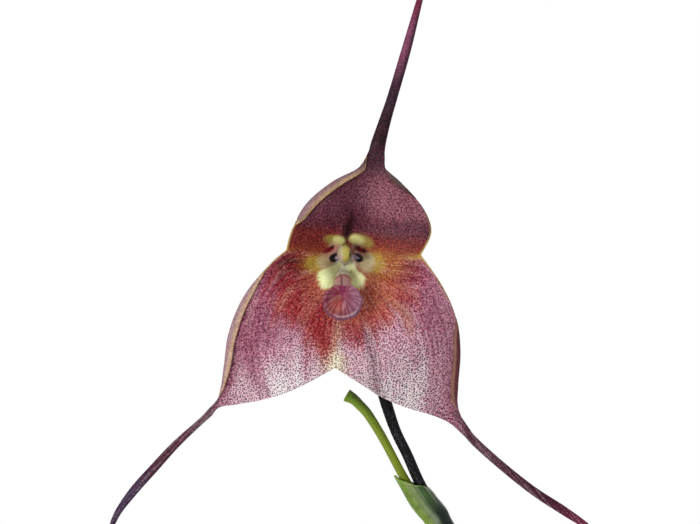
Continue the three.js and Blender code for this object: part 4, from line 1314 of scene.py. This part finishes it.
def lipPoint(a, share, back):
    wave = 0.02 * math.sin(7 * a + 1) + 0.014 * math.sin(13 * a)
    edge = 1 - 0.12 * math.exp(-(((a - math.pi / 2) / 0.3) ** 2)) + wave * smooth(0.7, 1, share)
    x, z = share * edge * math.cos(a), mix(lipBuild["mouth"], edge * math.sin(a), share)
    low = (1 - math.sin(a)) / 2
    bowl = lipBuild["bowl"] * (x * x + z * z)
    rim = lipBuild["rim"] * math.exp(-(((share - 0.86) / 0.12) ** 2)) * (0.3 + 0.7 * low)
    ribs = 0
    if not back:
        ribs = lipBuild["rib"] * lipCrest(a) * smooth(0.08, 0.4, share) * smooth(0.95, 0.84, share)
    depth = lipBuild["y"] - bowl - rim - ribs + lipBuild["tilt"] * z + back
    return onBloom(lipBuild["x"] + lipBuild["across"] * x, lipBuild["z"] + lipBuild["up"] * z, depth)


def lipPaint(a, share):
    point = lipPoint(a, share, 0) / mm - bloomMiddle
    x, z = point.x, point.z
    crest = lipCrest(a)
    color = blend(tint(144, 52, 70), tint(142, 90, 118), smooth(-2, 4, x))
    color = blend(color, tint(190, 84, 66), patch(x, z, -2.8, -14, 2.2, 2, 10) * 0.75)
    # painted highlight: a pale streak on the blade
    color = blend(color, tint(176, 120, 100), patch(x, z, -2.6, -11.6, 1.7, 0.7, 20) * 0.5)
    # painted shade in the valleys between the ribs and painted highlights on their crests
    color = blend(color, tint(96, 28, 54), (1 - crest) * 0.27 * smooth(0.1, 0.4, share))
    color = blend(color, tint(208, 166, 176), crest * 0.22 * smooth(0.3, 0.7, share))
    # painted highlight: a second pale streak
    color = blend(color, tint(214, 176, 184), patch(x, z, -0.5, -13.4, 0.5, 1.3, -12) * 0.4)
    toothed = smooth(0.06, 0.02, abs(share - 0.86 - 0.015 * math.cos(36 * a)))
    toothed *= smooth(0.9, 0.5, abs(a + math.radians(76)))
    color = blend(color, tint(226, 206, 210), 0.36 * toothed)
    low = smooth(0.5, -0.4, math.sin(a) - 0.3 * math.cos(a))
    color = blend(color, tint(98, 46, 72), smooth(0.87, 0.93, share) * mix(0.25, 0.85, low))
    color = blend(color, tint(160, 112, 140), smooth(0.98, 1, share) * 0.4)
    wedge = insideOf([(-1.9, -8), (0.1, -8), (-0.4, -10.4), (-0.9, -12), (-1.4, -10.4)], x, z, 0.4)
    return {"ground": blend(color, tint(128, 14, 78), 0.85 * wedge)}


def makeLip():
    spokes, rings = lipBuild["spokes"], lipBuild["rings"]
    shares = [mix(0.06, 1, (k / rings) ** 0.9) for k in range(rings + 1)]
    angles = [math.pi - 2 * math.pi * spoke / spokes for spoke in range(spokes)]
    rows = [[lipPoint(a, share, 0) for a in angles] for share in shares]
    behind = shares[::-4]
    for share in behind:
        back = lipBuild["thick"] + 0.4 * (1 - share)
        rows.append([lipPoint(a, share, back) for a in angles])

    def paint(k, i):
        return lipPaint(angles[i], shares[k] if k < len(shares) else 1)

    blade = addSkin("lipBlade", rows, closed=True, paint=paint)

    def cleft(share, a):
        return 1 - 0.3 * math.exp(-(((a - math.radians(104)) / 0.14) ** 2)) * smooth(0.2, 0.45, share)

    clawSkin = budRows(clawRows, 60, 96, cleft)

    def clawPaint(k, i):
        x, _, z = clawSkin[k][i] / mm - bloomMiddle
        arch = z + 5.4 + 0.22 * (x + 0.8) ** 2
        color = blend(tint(190, 142, 136), tint(206, 200, 172), smooth(-0.1, 0.3, arch))
        color = blend(color, tint(150, 84, 58), smooth(0.5, 0.1, abs(arch)) * 0.8)
        groove = smooth(0.3, 0.08, abs(x + 1.1)) * smooth(-5.4, -6, z)
        return {"ground": blend(color, tint(112, 40, 62), 0.85 * groove)}

    claw = addSkin("claw", clawSkin, closed=True, paint=clawPaint)
    lip = joinAll([blade, claw], "lipSkin")
    settle(lip, "lip", "lip", materials=[waxMaterial("lipWax", 0.5)])


def waxMaterial(name, roughness):
    material, shader = startMaterial(name, Roughness=roughness, Specular_IOR_Level=0.4)
    fine = noiseOf(material, objectPlace(material), 0.4, detail=3)
    color = attribute(material, "ground")
    color = stain(material, color, (150, 96, 100), fine, 0.4, 0.7, 0.3, "MULTIPLY")
    return dress(material, shader, color, fine, 0.08, 0.7)


makePetal("left", -1)
makePetal("right", 1)
makeColumn()
makeLip()
print("petals, column and lip are set in the throat")


# Leaves: three in the middle and eight round them, each on a round stem with a dark papery sheath

tuftSeed = 23
circles = [  # in millimetres and degrees; a pair is a range to draw from
    {
        "leaves": 3,
        "first": 75,
        "step": 120,
        "ring": 9,
        "sway": 0,
        "lean": (4, 6),
        "tipLean": (22, 30),
        "long": (258, 288),
        "twist": (-12, 12),
    },
    {
        "leaves": 8,
        "first": 42,
        "step": 44,
        "ring": (19, 20),
        "sway": (-2, 2),
        "lean": (12, 14),
        "tipLean": (50, 66),
        "long": (224, 270),
        "twist": (-10, 10),
    },
]
leafBuild = {
    "foot": 101,  # height of the feet above the table
    "stem": 1.7,  # radius of the round stem
    "stemLong": 46,
    "stalkLong": 46,
    "stalkHalf": 3.4,
    "blade": 36,  # width of the blade of a leaf of the usual length
    "usual": 270,
    "edge": 0.7,
    "midrib": 1.5,
    "keel": 0.5,
    "ripple": 0.05,
    "waver": 0.8,
    "stations": 110,
    "columns": 24,  # points from margin to margin on one face
}


def growTuft():
    draw = drawFrom(tuftSeed)
    tuft = []
    for circle in circles:
        for k in range(circle["leaves"]):
            leaf = {}
            for key in ("ring", "sway", "lean", "tipLean", "long", "twist"):
                leaf[key] = draw(*circle[key]) if isinstance(circle[key], tuple) else circle[key]
            leaf["azimuth"] = circle["first"] + circle["step"] * k + leaf["sway"]
            tuft.append(leaf)
    return tuft


def leafFrame(leaf, share):  # place, way along, side across, face upwards
    azimuth = math.radians(leaf["azimuth"])
    out = Vector((math.cos(azimuth), math.sin(azimuth), 0))

    def leanAt(s):
        return math.radians(mix(leaf["lean"], leaf["tipLean"], abs(s) ** 1.8))

    place = out * leaf["ring"] + Vector((0, 0, leafBuild["foot"]))
    steps = 24
    step = leaf["long"] * share / steps
    for k in range(steps):
        lean = leanAt((k + 0.5) / steps * share)
        place += out * math.sin(lean) * step + Vector((0, 0, math.cos(lean) * step))
    way = out * math.sin(leanAt(share)) + Vector((0, 0, math.cos(leanAt(share))))
    side = Matrix.Rotation(math.radians(leaf["twist"]) * share, 3, way) @ Vector((-out.y, out.x, 0))
    return place, way, side, side.cross(way)


def leafSection(leaf, distance):  # half width, fold of the halves, midrib's thickness, how far it is opened
    bladeStart = leafBuild["stemLong"] + leafBuild["stalkLong"]
    t = max(0, (distance - bladeStart) / (leaf["long"] - bladeStart))
    swell = math.sin(math.pi * min(1, t) ** 1.25) ** 0.8
    widest = (leafBuild["blade"] / 2 - leafBuild["stalkHalf"]) * leaf["long"] / leafBuild["usual"]
    opened = smooth(leafBuild["stemLong"] * 0.8, bladeStart, distance)
    stalk = mix(leafBuild["stem"], leafBuild["stalkHalf"], opened)
    half = mix(stalk, 0.5, smooth(0.75, 1, t)) + widest * swell
    fold = mix(1.02, 0.2, smooth(bladeStart * 0.75, bladeStart + 60, distance))
    rib = mix(leafBuild["midrib"], 0.8, smooth(0.1, 1, t))
    return half, fold, rib, smooth(leafBuild["stemLong"] * 0.7, bladeStart * 0.8, distance)


def leafRing(leaf, share, number):
    place, way, side, face = leafFrame(leaf, share)
    half, fold, rib, spread = leafSection(leaf, share * leaf["long"])
    count = leafBuild["columns"]
    ring = []
    for j in [*range(count), *reversed(range(count))]:  # the upper face and back along the lower one
        sign = 1 if len(ring) < count else -1
        q = 2 * j / (count - 1) - 1
        a = math.pi * (1 - (j + 0.5) / count)
        thick = mix(leafBuild["edge"], rib, (1 - abs(q)) ** 2) / 2
        wave = leafBuild["waver"] * abs(q) ** 3 * math.sin(share * 26 + 2 * number + (q > 0) * 1.7)
        wave *= smooth(0.45, 0.7, share)
        rise = half * math.sin(fold) * (math.hypot(q, 0.18) - 0.45) + thick * sign + wave
        ripple = leafBuild["ripple"] * math.cos(22 * math.pi * q) * (1 - abs(q))
        keel = leafBuild["keel"] * math.exp(-((q / 0.05) ** 2)) * smooth(1, 0.5, share)
        rise += ripple - keel
        blade = side * half * q * math.cos(fold) + face * rise
        stem = (side * math.cos(a) + face * math.sin(a) * sign) * leafBuild["stem"]
        ring.append((place + stem.lerp(blade, spread)) * mm)
    return ring


def makeLeaf(leaf, number, material):
    name = f"{number:02d}"
    stations, count = leafBuild["stations"], leafBuild["columns"]
    shares = [0.985 * k / stations for k in range(stations + 1)]
    rows = [leafRing(leaf, share, number) for share in shares]

    def paint(k, i):
        q = 2 * (i if i < count else 2 * count - 1 - i) / (count - 1) - 1
        distance = shares[k] * leaf["long"]
        half = leafSection(leaf, distance)[0]
        grain = (q * half, distance, number * 7.0)
        return {"grain": grain, "keel": abs(q), "under": 1.0 * (i >= count), "high": shares[k]}

    skin = addSkin("leafSkin" + name, rows, closed=True, paint=paint)
    settle(skin, "leaf", "leaf_" + name, materials=[material], sharp=50)


sheathBuild = {
    "from": 12.5,  # along the leaf
    "to": 31,
    "gap": 0.3,
    "foot": 1.5,  # how far it stands off that gap, at its foot and at its mouth
    "mouth": 0.7,
    "wall": 0.5,
    "slant": 2.5,
    "torn": 0.5,
    "ribs": 9,
    "rib": 0.03,
    "stations": 24,
    "sides": 36,
}


def makeSheath(leaf, number, material):
    name = f"{number:02d}"

    def spot(share, a):
        stand = mix(sheathBuild["foot"], sheathBuild["mouth"], smooth(0, 1, share))
        radius = leafBuild["stem"] + sheathBuild["gap"] + stand
        torn = sheathBuild["torn"] * noise.noise(Vector((math.cos(a) * 2, math.sin(a) * 2, number)))
        slope = (sheathBuild["slant"] * (1 - math.cos(a)) + torn) * smooth(0.3, 1, share)
        height = mix(sheathBuild["from"], sheathBuild["to"], share)
        place, _, side, face = leafFrame(leaf, (height + slope) / leaf["long"])
        rib = 1 + sheathBuild["rib"] * math.cos(sheathBuild["ribs"] * a)
        return place + (side * math.sin(a) + face * math.cos(a)) * radius * rib

    rows = ringsOf(sheathBuild["stations"], sheathBuild["sides"], spot)
    sheath = addSkin("sheathSkin" + name, rows, closed=True, capped=False, paint=grainPaint(rows, 2.0))
    addModifier(sheath, "SOLIDIFY", thickness=sheathBuild["wall"] * mm, offset=-1)
    settle(sheath, "sheath", "leaf_sheath_" + name, materials=[material])


def leafMaterial():
    material, shader = startMaterial("leafGreen", Roughness=0.36, Specular_IOR_Level=0.45)
    vein = fibreOf(material, (0.9, 0.02, 1))
    cloud = noiseOf(material, objectPlace(material), 16, detail=3)
    fine = noiseOf(material, objectPlace(material), 0.9, detail=2)
    upper = stain(material, (54, 88, 36), (86, 124, 50), cloud, 0.3, 0.7)
    upper = stain(material, upper, (112, 146, 68), vein, 0.4, 0.62, 0.5)
    lower = stain(material, (104, 132, 72), (132, 156, 96), vein, 0.4, 0.62, 0.6)
    color = mixColor(material, attribute(material, "under", "Fac"), upper, lower)
    keel = attribute(material, "keel", "Fac")
    color = stain(material, color, (134, 158, 84), keel, 0.07, 0.02)
    color = stain(material, color, (126, 116, 58), keel, 0.94, 1, 0.7)
    high = attribute(material, "high", "Fac")
    color = stain(material, color, (96, 104, 58), high, 0.3, 0.12, 0.8)
    color = stain(material, color, (122, 92, 52), high, 0.95, 0.985, 0.8)
    color = stain(material, color, (60, 84, 36), fine, 0.55, 0.75, 0.4)
    return dress(material, shader, color, vein, 0.25, 0.6)


def sheathMaterial():
    material, shader = startMaterial("sheathPaper", Roughness=0.75, Specular_IOR_Level=0.25)
    streak = fibreOf(material, (1.5, 1.5, 0.1), 4)
    fine = noiseOf(material, objectPlace(material), 0.8, detail=3)
    color = stain(material, (54, 40, 34), (104, 82, 66), streak, 0.35, 0.65)
    color = stain(material, color, (140, 120, 98), fine, 0.55, 0.7, 0.5)
    return dress(material, shader, color, streak, 0.3, 0.8)


leafLook, sheathLook = leafMaterial(), sheathMaterial()
for k, leaf in enumerate(growTuft()):
    makeLeaf(leaf, k + 1, leafLook)
    makeSheath(leaf, k + 1, sheathLook)
print("leaves and their sheaths are grown")


# Rootstock: a lumpy mound with runs of root that arch over the bark

moundBuild = {"radius": 27, "rough": 0.45, "grain": 0.35, "stations": 54, "sides": 120}
moundLevels = [  # height, share of the radius, how far the level waves
    (97, 0.88, 0),
    (100, 0.95, 0),
    (103, 1, 0),
    (106, 0.96, 0.3),
    (108.6, 0.86, 0.6),
    (110.4, 0.66, 0.4),
    (111, 0.42, 0),
    (111.2, 0.2, 0),
    (111.2, 0.04, 0),
]
rootBuild = {
    "roots": 7,
    "thick": 1.3,
    "seed": 91,
    "seedStep": 37,
    "sway": (-0.25, 0.25),
    "bend": (-0.45, 0.45),
    "reach": (15, 27),
    "rise": (2.5, 5),
    "knobs": 0.12,
    "stations": 90,
    "sides": 18,
}


def makeMound():
    def spot(share, a):
        place = share * (len(moundLevels) - 1)
        z, width, wave = along(moundLevels, place)
        lumps = 1 + 0.05 * math.cos(5 * a + place / 2) + 0.045 * math.cos(8 * a - place)
        radius = moundBuild["radius"] * width * lumps
        point = Vector((radius * math.cos(a), radius * math.sin(a), z + wave * math.cos(7 * a)))
        rough = noise.fractal(point * moundBuild["grain"], 1, 2, 4)
        return point + Vector((point.x, point.y, 18)).normalized() * moundBuild["rough"] * rough

    return addSkin("mound", ringsOf(moundBuild["stations"], moundBuild["sides"], spot), closed=True)


def rootPath(k):  # out of the mound, over the bark and down into it
    draw = drawFrom(rootBuild["seed"] + rootBuild["seedStep"] * k)
    a = 2 * math.pi * k / rootBuild["roots"] + draw(*rootBuild["sway"])
    bend = draw(*rootBuild["bend"])
    reach = draw(*rootBuild["reach"])
    rise = draw(*rootBuild["rise"])
    thick = rootBuild["thick"]
    rows = []
    for out, turn, z, radius in (
        (18, 0, 104, thick),
        (24, 0.05 * bend, 107.5, thick),
        (26 + 0.35 * reach, 0.35 * bend, 106 + rise, thick),
        (26 + 0.8 * reach, 0.75 * bend, 105 + 0.5 * rise, thick * 0.95),
        (26 + reach, bend, 96, thick * 0.9),
    ):
        rows.append((out * math.cos(a + turn), out * math.sin(a + turn), z, radius))
    return rows


def makeRoot(k):
    def knobbly(share, a):
        return 1 + rootBuild["knobs"] * noise.noise(Vector((math.cos(a), math.sin(a), share * 22 + k)))

    rows = stemRows(rootPath(k), rootBuild["stations"], rootBuild["sides"], knobbly)
    return addSkin("rootRun", rows, closed=True)


def makeRootstock():
    parts = [makeMound()] + [makeRoot(k) for k in range(rootBuild["roots"])]
    settle(joinAll(parts, "rootstockSkin"), "root", "rootstock", materials=[rootMaterial()])


def rootMaterial():
    material, shader = startMaterial("rootSkin", Roughness=0.8, Specular_IOR_Level=0.25)
    place = objectPlace(material)
    cloud = noiseOf(material, place, 4, detail=4, roughness=0.6)
    fine = noiseOf(material, place, 0.6, detail=3)
    color = stain(material, (74, 54, 38), (150, 132, 98), cloud, 0.35, 0.65)
    color = stain(material, color, (84, 92, 50), fine, 0.5, 0.7, 0.5)
    return dress(material, shader, color, sum2(material, "ADD", cloud, fine), 0.4, 0.8)


# Clay pot with a collar and three drain holes

potBuild = {
    "sides": 144,
    # radius and height of each step, from the foot up the outside, over the rim and down to the floor inside
    "steps": [(48, 2), (66.5, 95), (69, 95), (70, 96.5), (70, 120), (68.5, 122), (62.5, 122), (61.5, 120)]
    + [(42, 11), (38, 8)],
    "foot": 46,
    "round": 0.6,  # radius of its rounded edges
    "drains": 3,
    "drainRadius": 5,
    "drainRing": 25,
    "drainTurn": math.pi / 6,
    "drainSides": 32,
    "drainDeep": 24,
}


def makePot():
    bpy.ops.object.select_all(action="DESELECT")
    radius, height = potBuild["foot"] * mm, 0
    bpy.ops.mesh.primitive_circle_add(vertices=potBuild["sides"], radius=radius, fill_type="NGON")
    pot = bpy.context.object
    pot.name = "claySkin"
    bpy.ops.object.mode_set(mode="EDIT")
    bpy.ops.mesh.select_all(action="SELECT")
    for nextRadius, nextHeight in potBuild["steps"]:
        rise = nextHeight * mm - height
        bpy.ops.mesh.extrude_region_move(TRANSFORM_OT_translate={"value": (0, 0, rise)})
        share = nextRadius * mm / radius
        bpy.ops.transform.resize(value=(share, share, 1), center_override=(0, 0, nextHeight * mm))
        radius, height = nextRadius * mm, nextHeight * mm
    bpy.ops.mesh.select_all(action="SELECT")
    bpy.ops.mesh.normals_make_consistent(inside=False)
    bpy.ops.object.mode_set(mode="OBJECT")
    width = potBuild["round"] * mm
    addModifier(pot, "BEVEL", width=width, segments=2, limit_method="ANGLE", angle_limit=math.radians(20))
    for turn in roundTurns(potBuild["drains"]):
        a = turn + potBuild["drainTurn"]
        spot = (potBuild["drainRing"] * math.cos(a) * mm, potBuild["drainRing"] * math.sin(a) * mm, 0)
        bpy.ops.mesh.primitive_cylinder_add(
            vertices=potBuild["drainSides"],
            radius=potBuild["drainRadius"] * mm,
            depth=potBuild["drainDeep"] * mm,
            location=spot,
        )
        drain = bpy.context.object
        addModifier(pot, "BOOLEAN", operation="DIFFERENCE", object=drain, solver="EXACT")
        bpy.data.objects.remove(drain)
    settle(pot, "terracotta", "clay_pot", materials=[clayMaterial()], sharp=35)


def clayMaterial():
    material, shader = startMaterial("terracotta", Roughness=0.85, Specular_IOR_Level=0.2)
    place = objectPlace(material)
    cloud = noiseOf(material, place, 38, detail=4, roughness=0.6)
    fine = noiseOf(material, place, 1.2, detail=3)
    throwing = noiseOf(material, objectPlace(material, (0.02, 0.02, 1)), 3.5, detail=3)
    color = stain(material, (176, 98, 66), (200, 126, 90), cloud, 0.3, 0.7)
    color = stain(material, color, (160, 84, 56), throwing, 0.4, 0.7, 0.25)
    bloom = noiseOf(material, objectPlace(material, (1, 1, 1.4)), 14, detail=5, roughness=0.65)
    color = stain(material, color, (222, 204, 184), bloom, 0.54, 0.8, 0.5)
    color = stain(material, color, (130, 72, 52), fine, 0.55, 0.7, 0.3)
    height = sum2(material, "ADD", times(material, throwing, 1.4), fine)
    return dress(material, shader, color, height, 0.3, 0.7)


# Bark mix: large chips laid in a spiral on a bed of smaller ones

chipBuild = {
    "seed": 7,
    "count": 42,
    "spread": 54,  # how far out they lie
    "even": 0.47,  # at a half, each has the same room; less leaves more of them near the rim
    "crownZ": 108,
    "edgeZ": 103,
    "dome": 56,  # radius at which the top has come down to the edge's height
    "lift": (-2, -4.5),
    "start": 0,
    "long": (11, 19),
    "across": (0.5, 0.8),  # shares of its length
    "thick": (3.5, 6),
    "tilt": (-0.4, 0.4),
    "turn": (0, 2 * math.pi),
    "cuts": 4,
}
crumbBuild = {
    "seed": 19,
    "count": 260,
    "spread": 57.5,
    "even": 0.5,
    "crownZ": 104.5,
    "edgeZ": 100.5,
    "dome": 58,
    "lift": (-1, 1),
    "start": 1,
    "long": (4, 8),
    "across": 0.6,
    "thick": (1.6, 3),
    "tilt": (-0.7, 0.7),
    "turn": (0, 6.28),
    "cuts": 1,
}
ragged = [(0.72, 1.08), (0.72, 1.08), (0.7, 1.15)]  # where a corner may be, as shares of the chip's size
woodGrain = {"size": 0.97, "lumps": 0.5, "lumpScale": 0.22, "fibre": 0.35, "fibreScale": (0.15, 0.9, 1.6)}
lumpShifts = [(0, 0, 0), (17, 5, 11), (3, 23, 29)]  # one for each way that a lump pushes
bedBuild = {
    "sides": 96,
    "floor": 8.3,
    "top": 98.5,
    "rim": 2,
    "crown": [(50, 99.4), (40, 99.8), (30, 100.2), (20, 100.4), (10, 100.5), (2, 100.5)],  # radius and height
    "lumpScale": 0.3,
}
goldenTurn = math.pi * (3 - math.sqrt(5))
wall = {"low": 11.3, "lowRadius": 41.7, "high": 120, "highRadius": 61.2}  # the pot's inside, less some room
chipCorners = [(1, 1, 1), (1, 1, -1), (1, -1, 1), (1, -1, -1)]
chipCorners += [(-1, 1, -1), (-1, 1, 1), (-1, -1, -1), (-1, -1, 1)]


def potRoom(z):
    return mix(wall["lowRadius"], wall["highRadius"], (z - wall["low"]) / (wall["high"] - wall["low"]))


def chipAt(draw, size, place, cuts):  # a ragged block, lumpy and grained
    bpy.ops.object.select_all(action="DESELECT")
    bpy.ops.mesh.primitive_cube_add(size=1)
    chip = bpy.context.object
    shape = {}
    for corner in chipCorners:
        lengths = [way * long * draw(*room) for way, long, room in zip(corner, size, ragged)]
        shape[corner] = Vector(lengths)
    for vertex in chip.data.vertices:
        corner = tuple(1 if value > 0 else -1 for value in vertex.co)
        vertex.co = shape[corner] / 2 * mm
    editAll(chip)
    bpy.ops.mesh.subdivide(number_cuts=cuts)
    bpy.ops.object.mode_set(mode="OBJECT")
    for vertex in chip.data.vertices:
        spot = vertex.co / mm * woodGrain["lumpScale"] + place * 3
        push = Vector([noise.noise(spot + Vector(shift)) for shift in lumpShifts])
        stretched = Vector([scale * value for scale, value in zip(woodGrain["fibreScale"], vertex.co)]) / mm
        ridge = Vector((0, 0, woodGrain["fibre"] * noise.noise(stretched + place)))
        vertex.co = (vertex.co / mm * woodGrain["size"] + push * woodGrain["lumps"] + ridge) * mm
    return chip


def spiralPlace(build, k, lift):  # on a dome, each a golden turn on from the last
    out = build["spread"] * ((k + 0.5) / build["count"]) ** build["even"]
    a = k * goldenTurn + build["start"]
    z = mix(build["crownZ"], build["edgeZ"], (out / build["dome"]) ** 2) + lift
    return Vector((out * math.cos(a), out * math.sin(a), z))


def drawTurns(draw, build):
    return [draw(*build["tilt"]), draw(*build["tilt"]), draw(*build["turn"])]


def layChip(chip, place, turns):
    turn = Matrix.Rotation(turns[2], 4, "Z") @ Matrix.Rotation(turns[1], 4, "Y")
    turn = turn @ Matrix.Rotation(turns[0], 4, "X")
    chip.data.transform(Matrix.Translation(place * mm) @ turn)
    return chip


def makeBark():
    parts = [makeBed()]
    draw = drawFrom(chipBuild["seed"])
    for k in range(chipBuild["count"]):
        place = spiralPlace(chipBuild, k, draw(*chipBuild["lift"]))
        long = draw(*chipBuild["long"])
        size = (long, long * draw(*chipBuild["across"]), draw(*chipBuild["thick"]))
        chip = chipAt(draw, size, place, chipBuild["cuts"])
        parts.append(layChip(chip, place, drawTurns(draw, chipBuild)))
    draw = drawFrom(crumbBuild["seed"])
    for k in range(crumbBuild["count"]):
        place = spiralPlace(crumbBuild, k, draw(*crumbBuild["lift"]))
        long = draw(*crumbBuild["long"])
        turns = drawTurns(draw, crumbBuild)
        size = (long, long * crumbBuild["across"], draw(*crumbBuild["thick"]))
        parts.append(layChip(chipAt(draw, size, place, crumbBuild["cuts"]), place, turns))
    bark = joinAll(parts, "barkSkin")
    settle(bark, "bark", "bark_mix", materials=[barkMaterial()], sharp=40)


def makeBed():
    floor, top = bedBuild["floor"], bedBuild["top"]
    profile = [(2, floor), (37, floor), (wall["lowRadius"], wall["low"]), (potRoom(60), 60)]
    profile += [(potRoom(top), top), (potRoom(top) - bedBuild["rim"], 99.2)] + bedBuild["crown"]
    rows = []
    for radius, z in profile:
        ring = []
        for a in roundTurns(bedBuild["sides"]):
            spot = Vector((radius * math.cos(a), radius * math.sin(a), z))
            lump = noise.noise(spot * bedBuild["lumpScale"]) if z > 99 else 0
            ring.append((spot + Vector((0, 0, lump))) * mm)
        rows.append(ring)
    return addSkin("bed", rows, closed=True)


def barkMaterial():
    material, shader = startMaterial("barkChips", Roughness=0.85, Specular_IOR_Level=0.2)
    place = objectPlace(material)
    cloud = noiseOf(material, place, 7, detail=4, roughness=0.65)
    grain = noiseOf(material, objectPlace(material, (1, 1, 3)), 1.4, detail=4)
    color = stain(material, (66, 42, 28), (140, 98, 66), cloud, 0.3, 0.7)
    color = stain(material, color, (168, 128, 92), grain, 0.5, 0.7, 0.6)
    color = stain(material, color, (42, 28, 22), grain, 0.42, 0.3, 0.7)
    return dress(material, shader, color, grain, 0.5, 0.9)


makeRootstock()
makePot()
makeBark()
print("rootstock, pot and bark are in place")
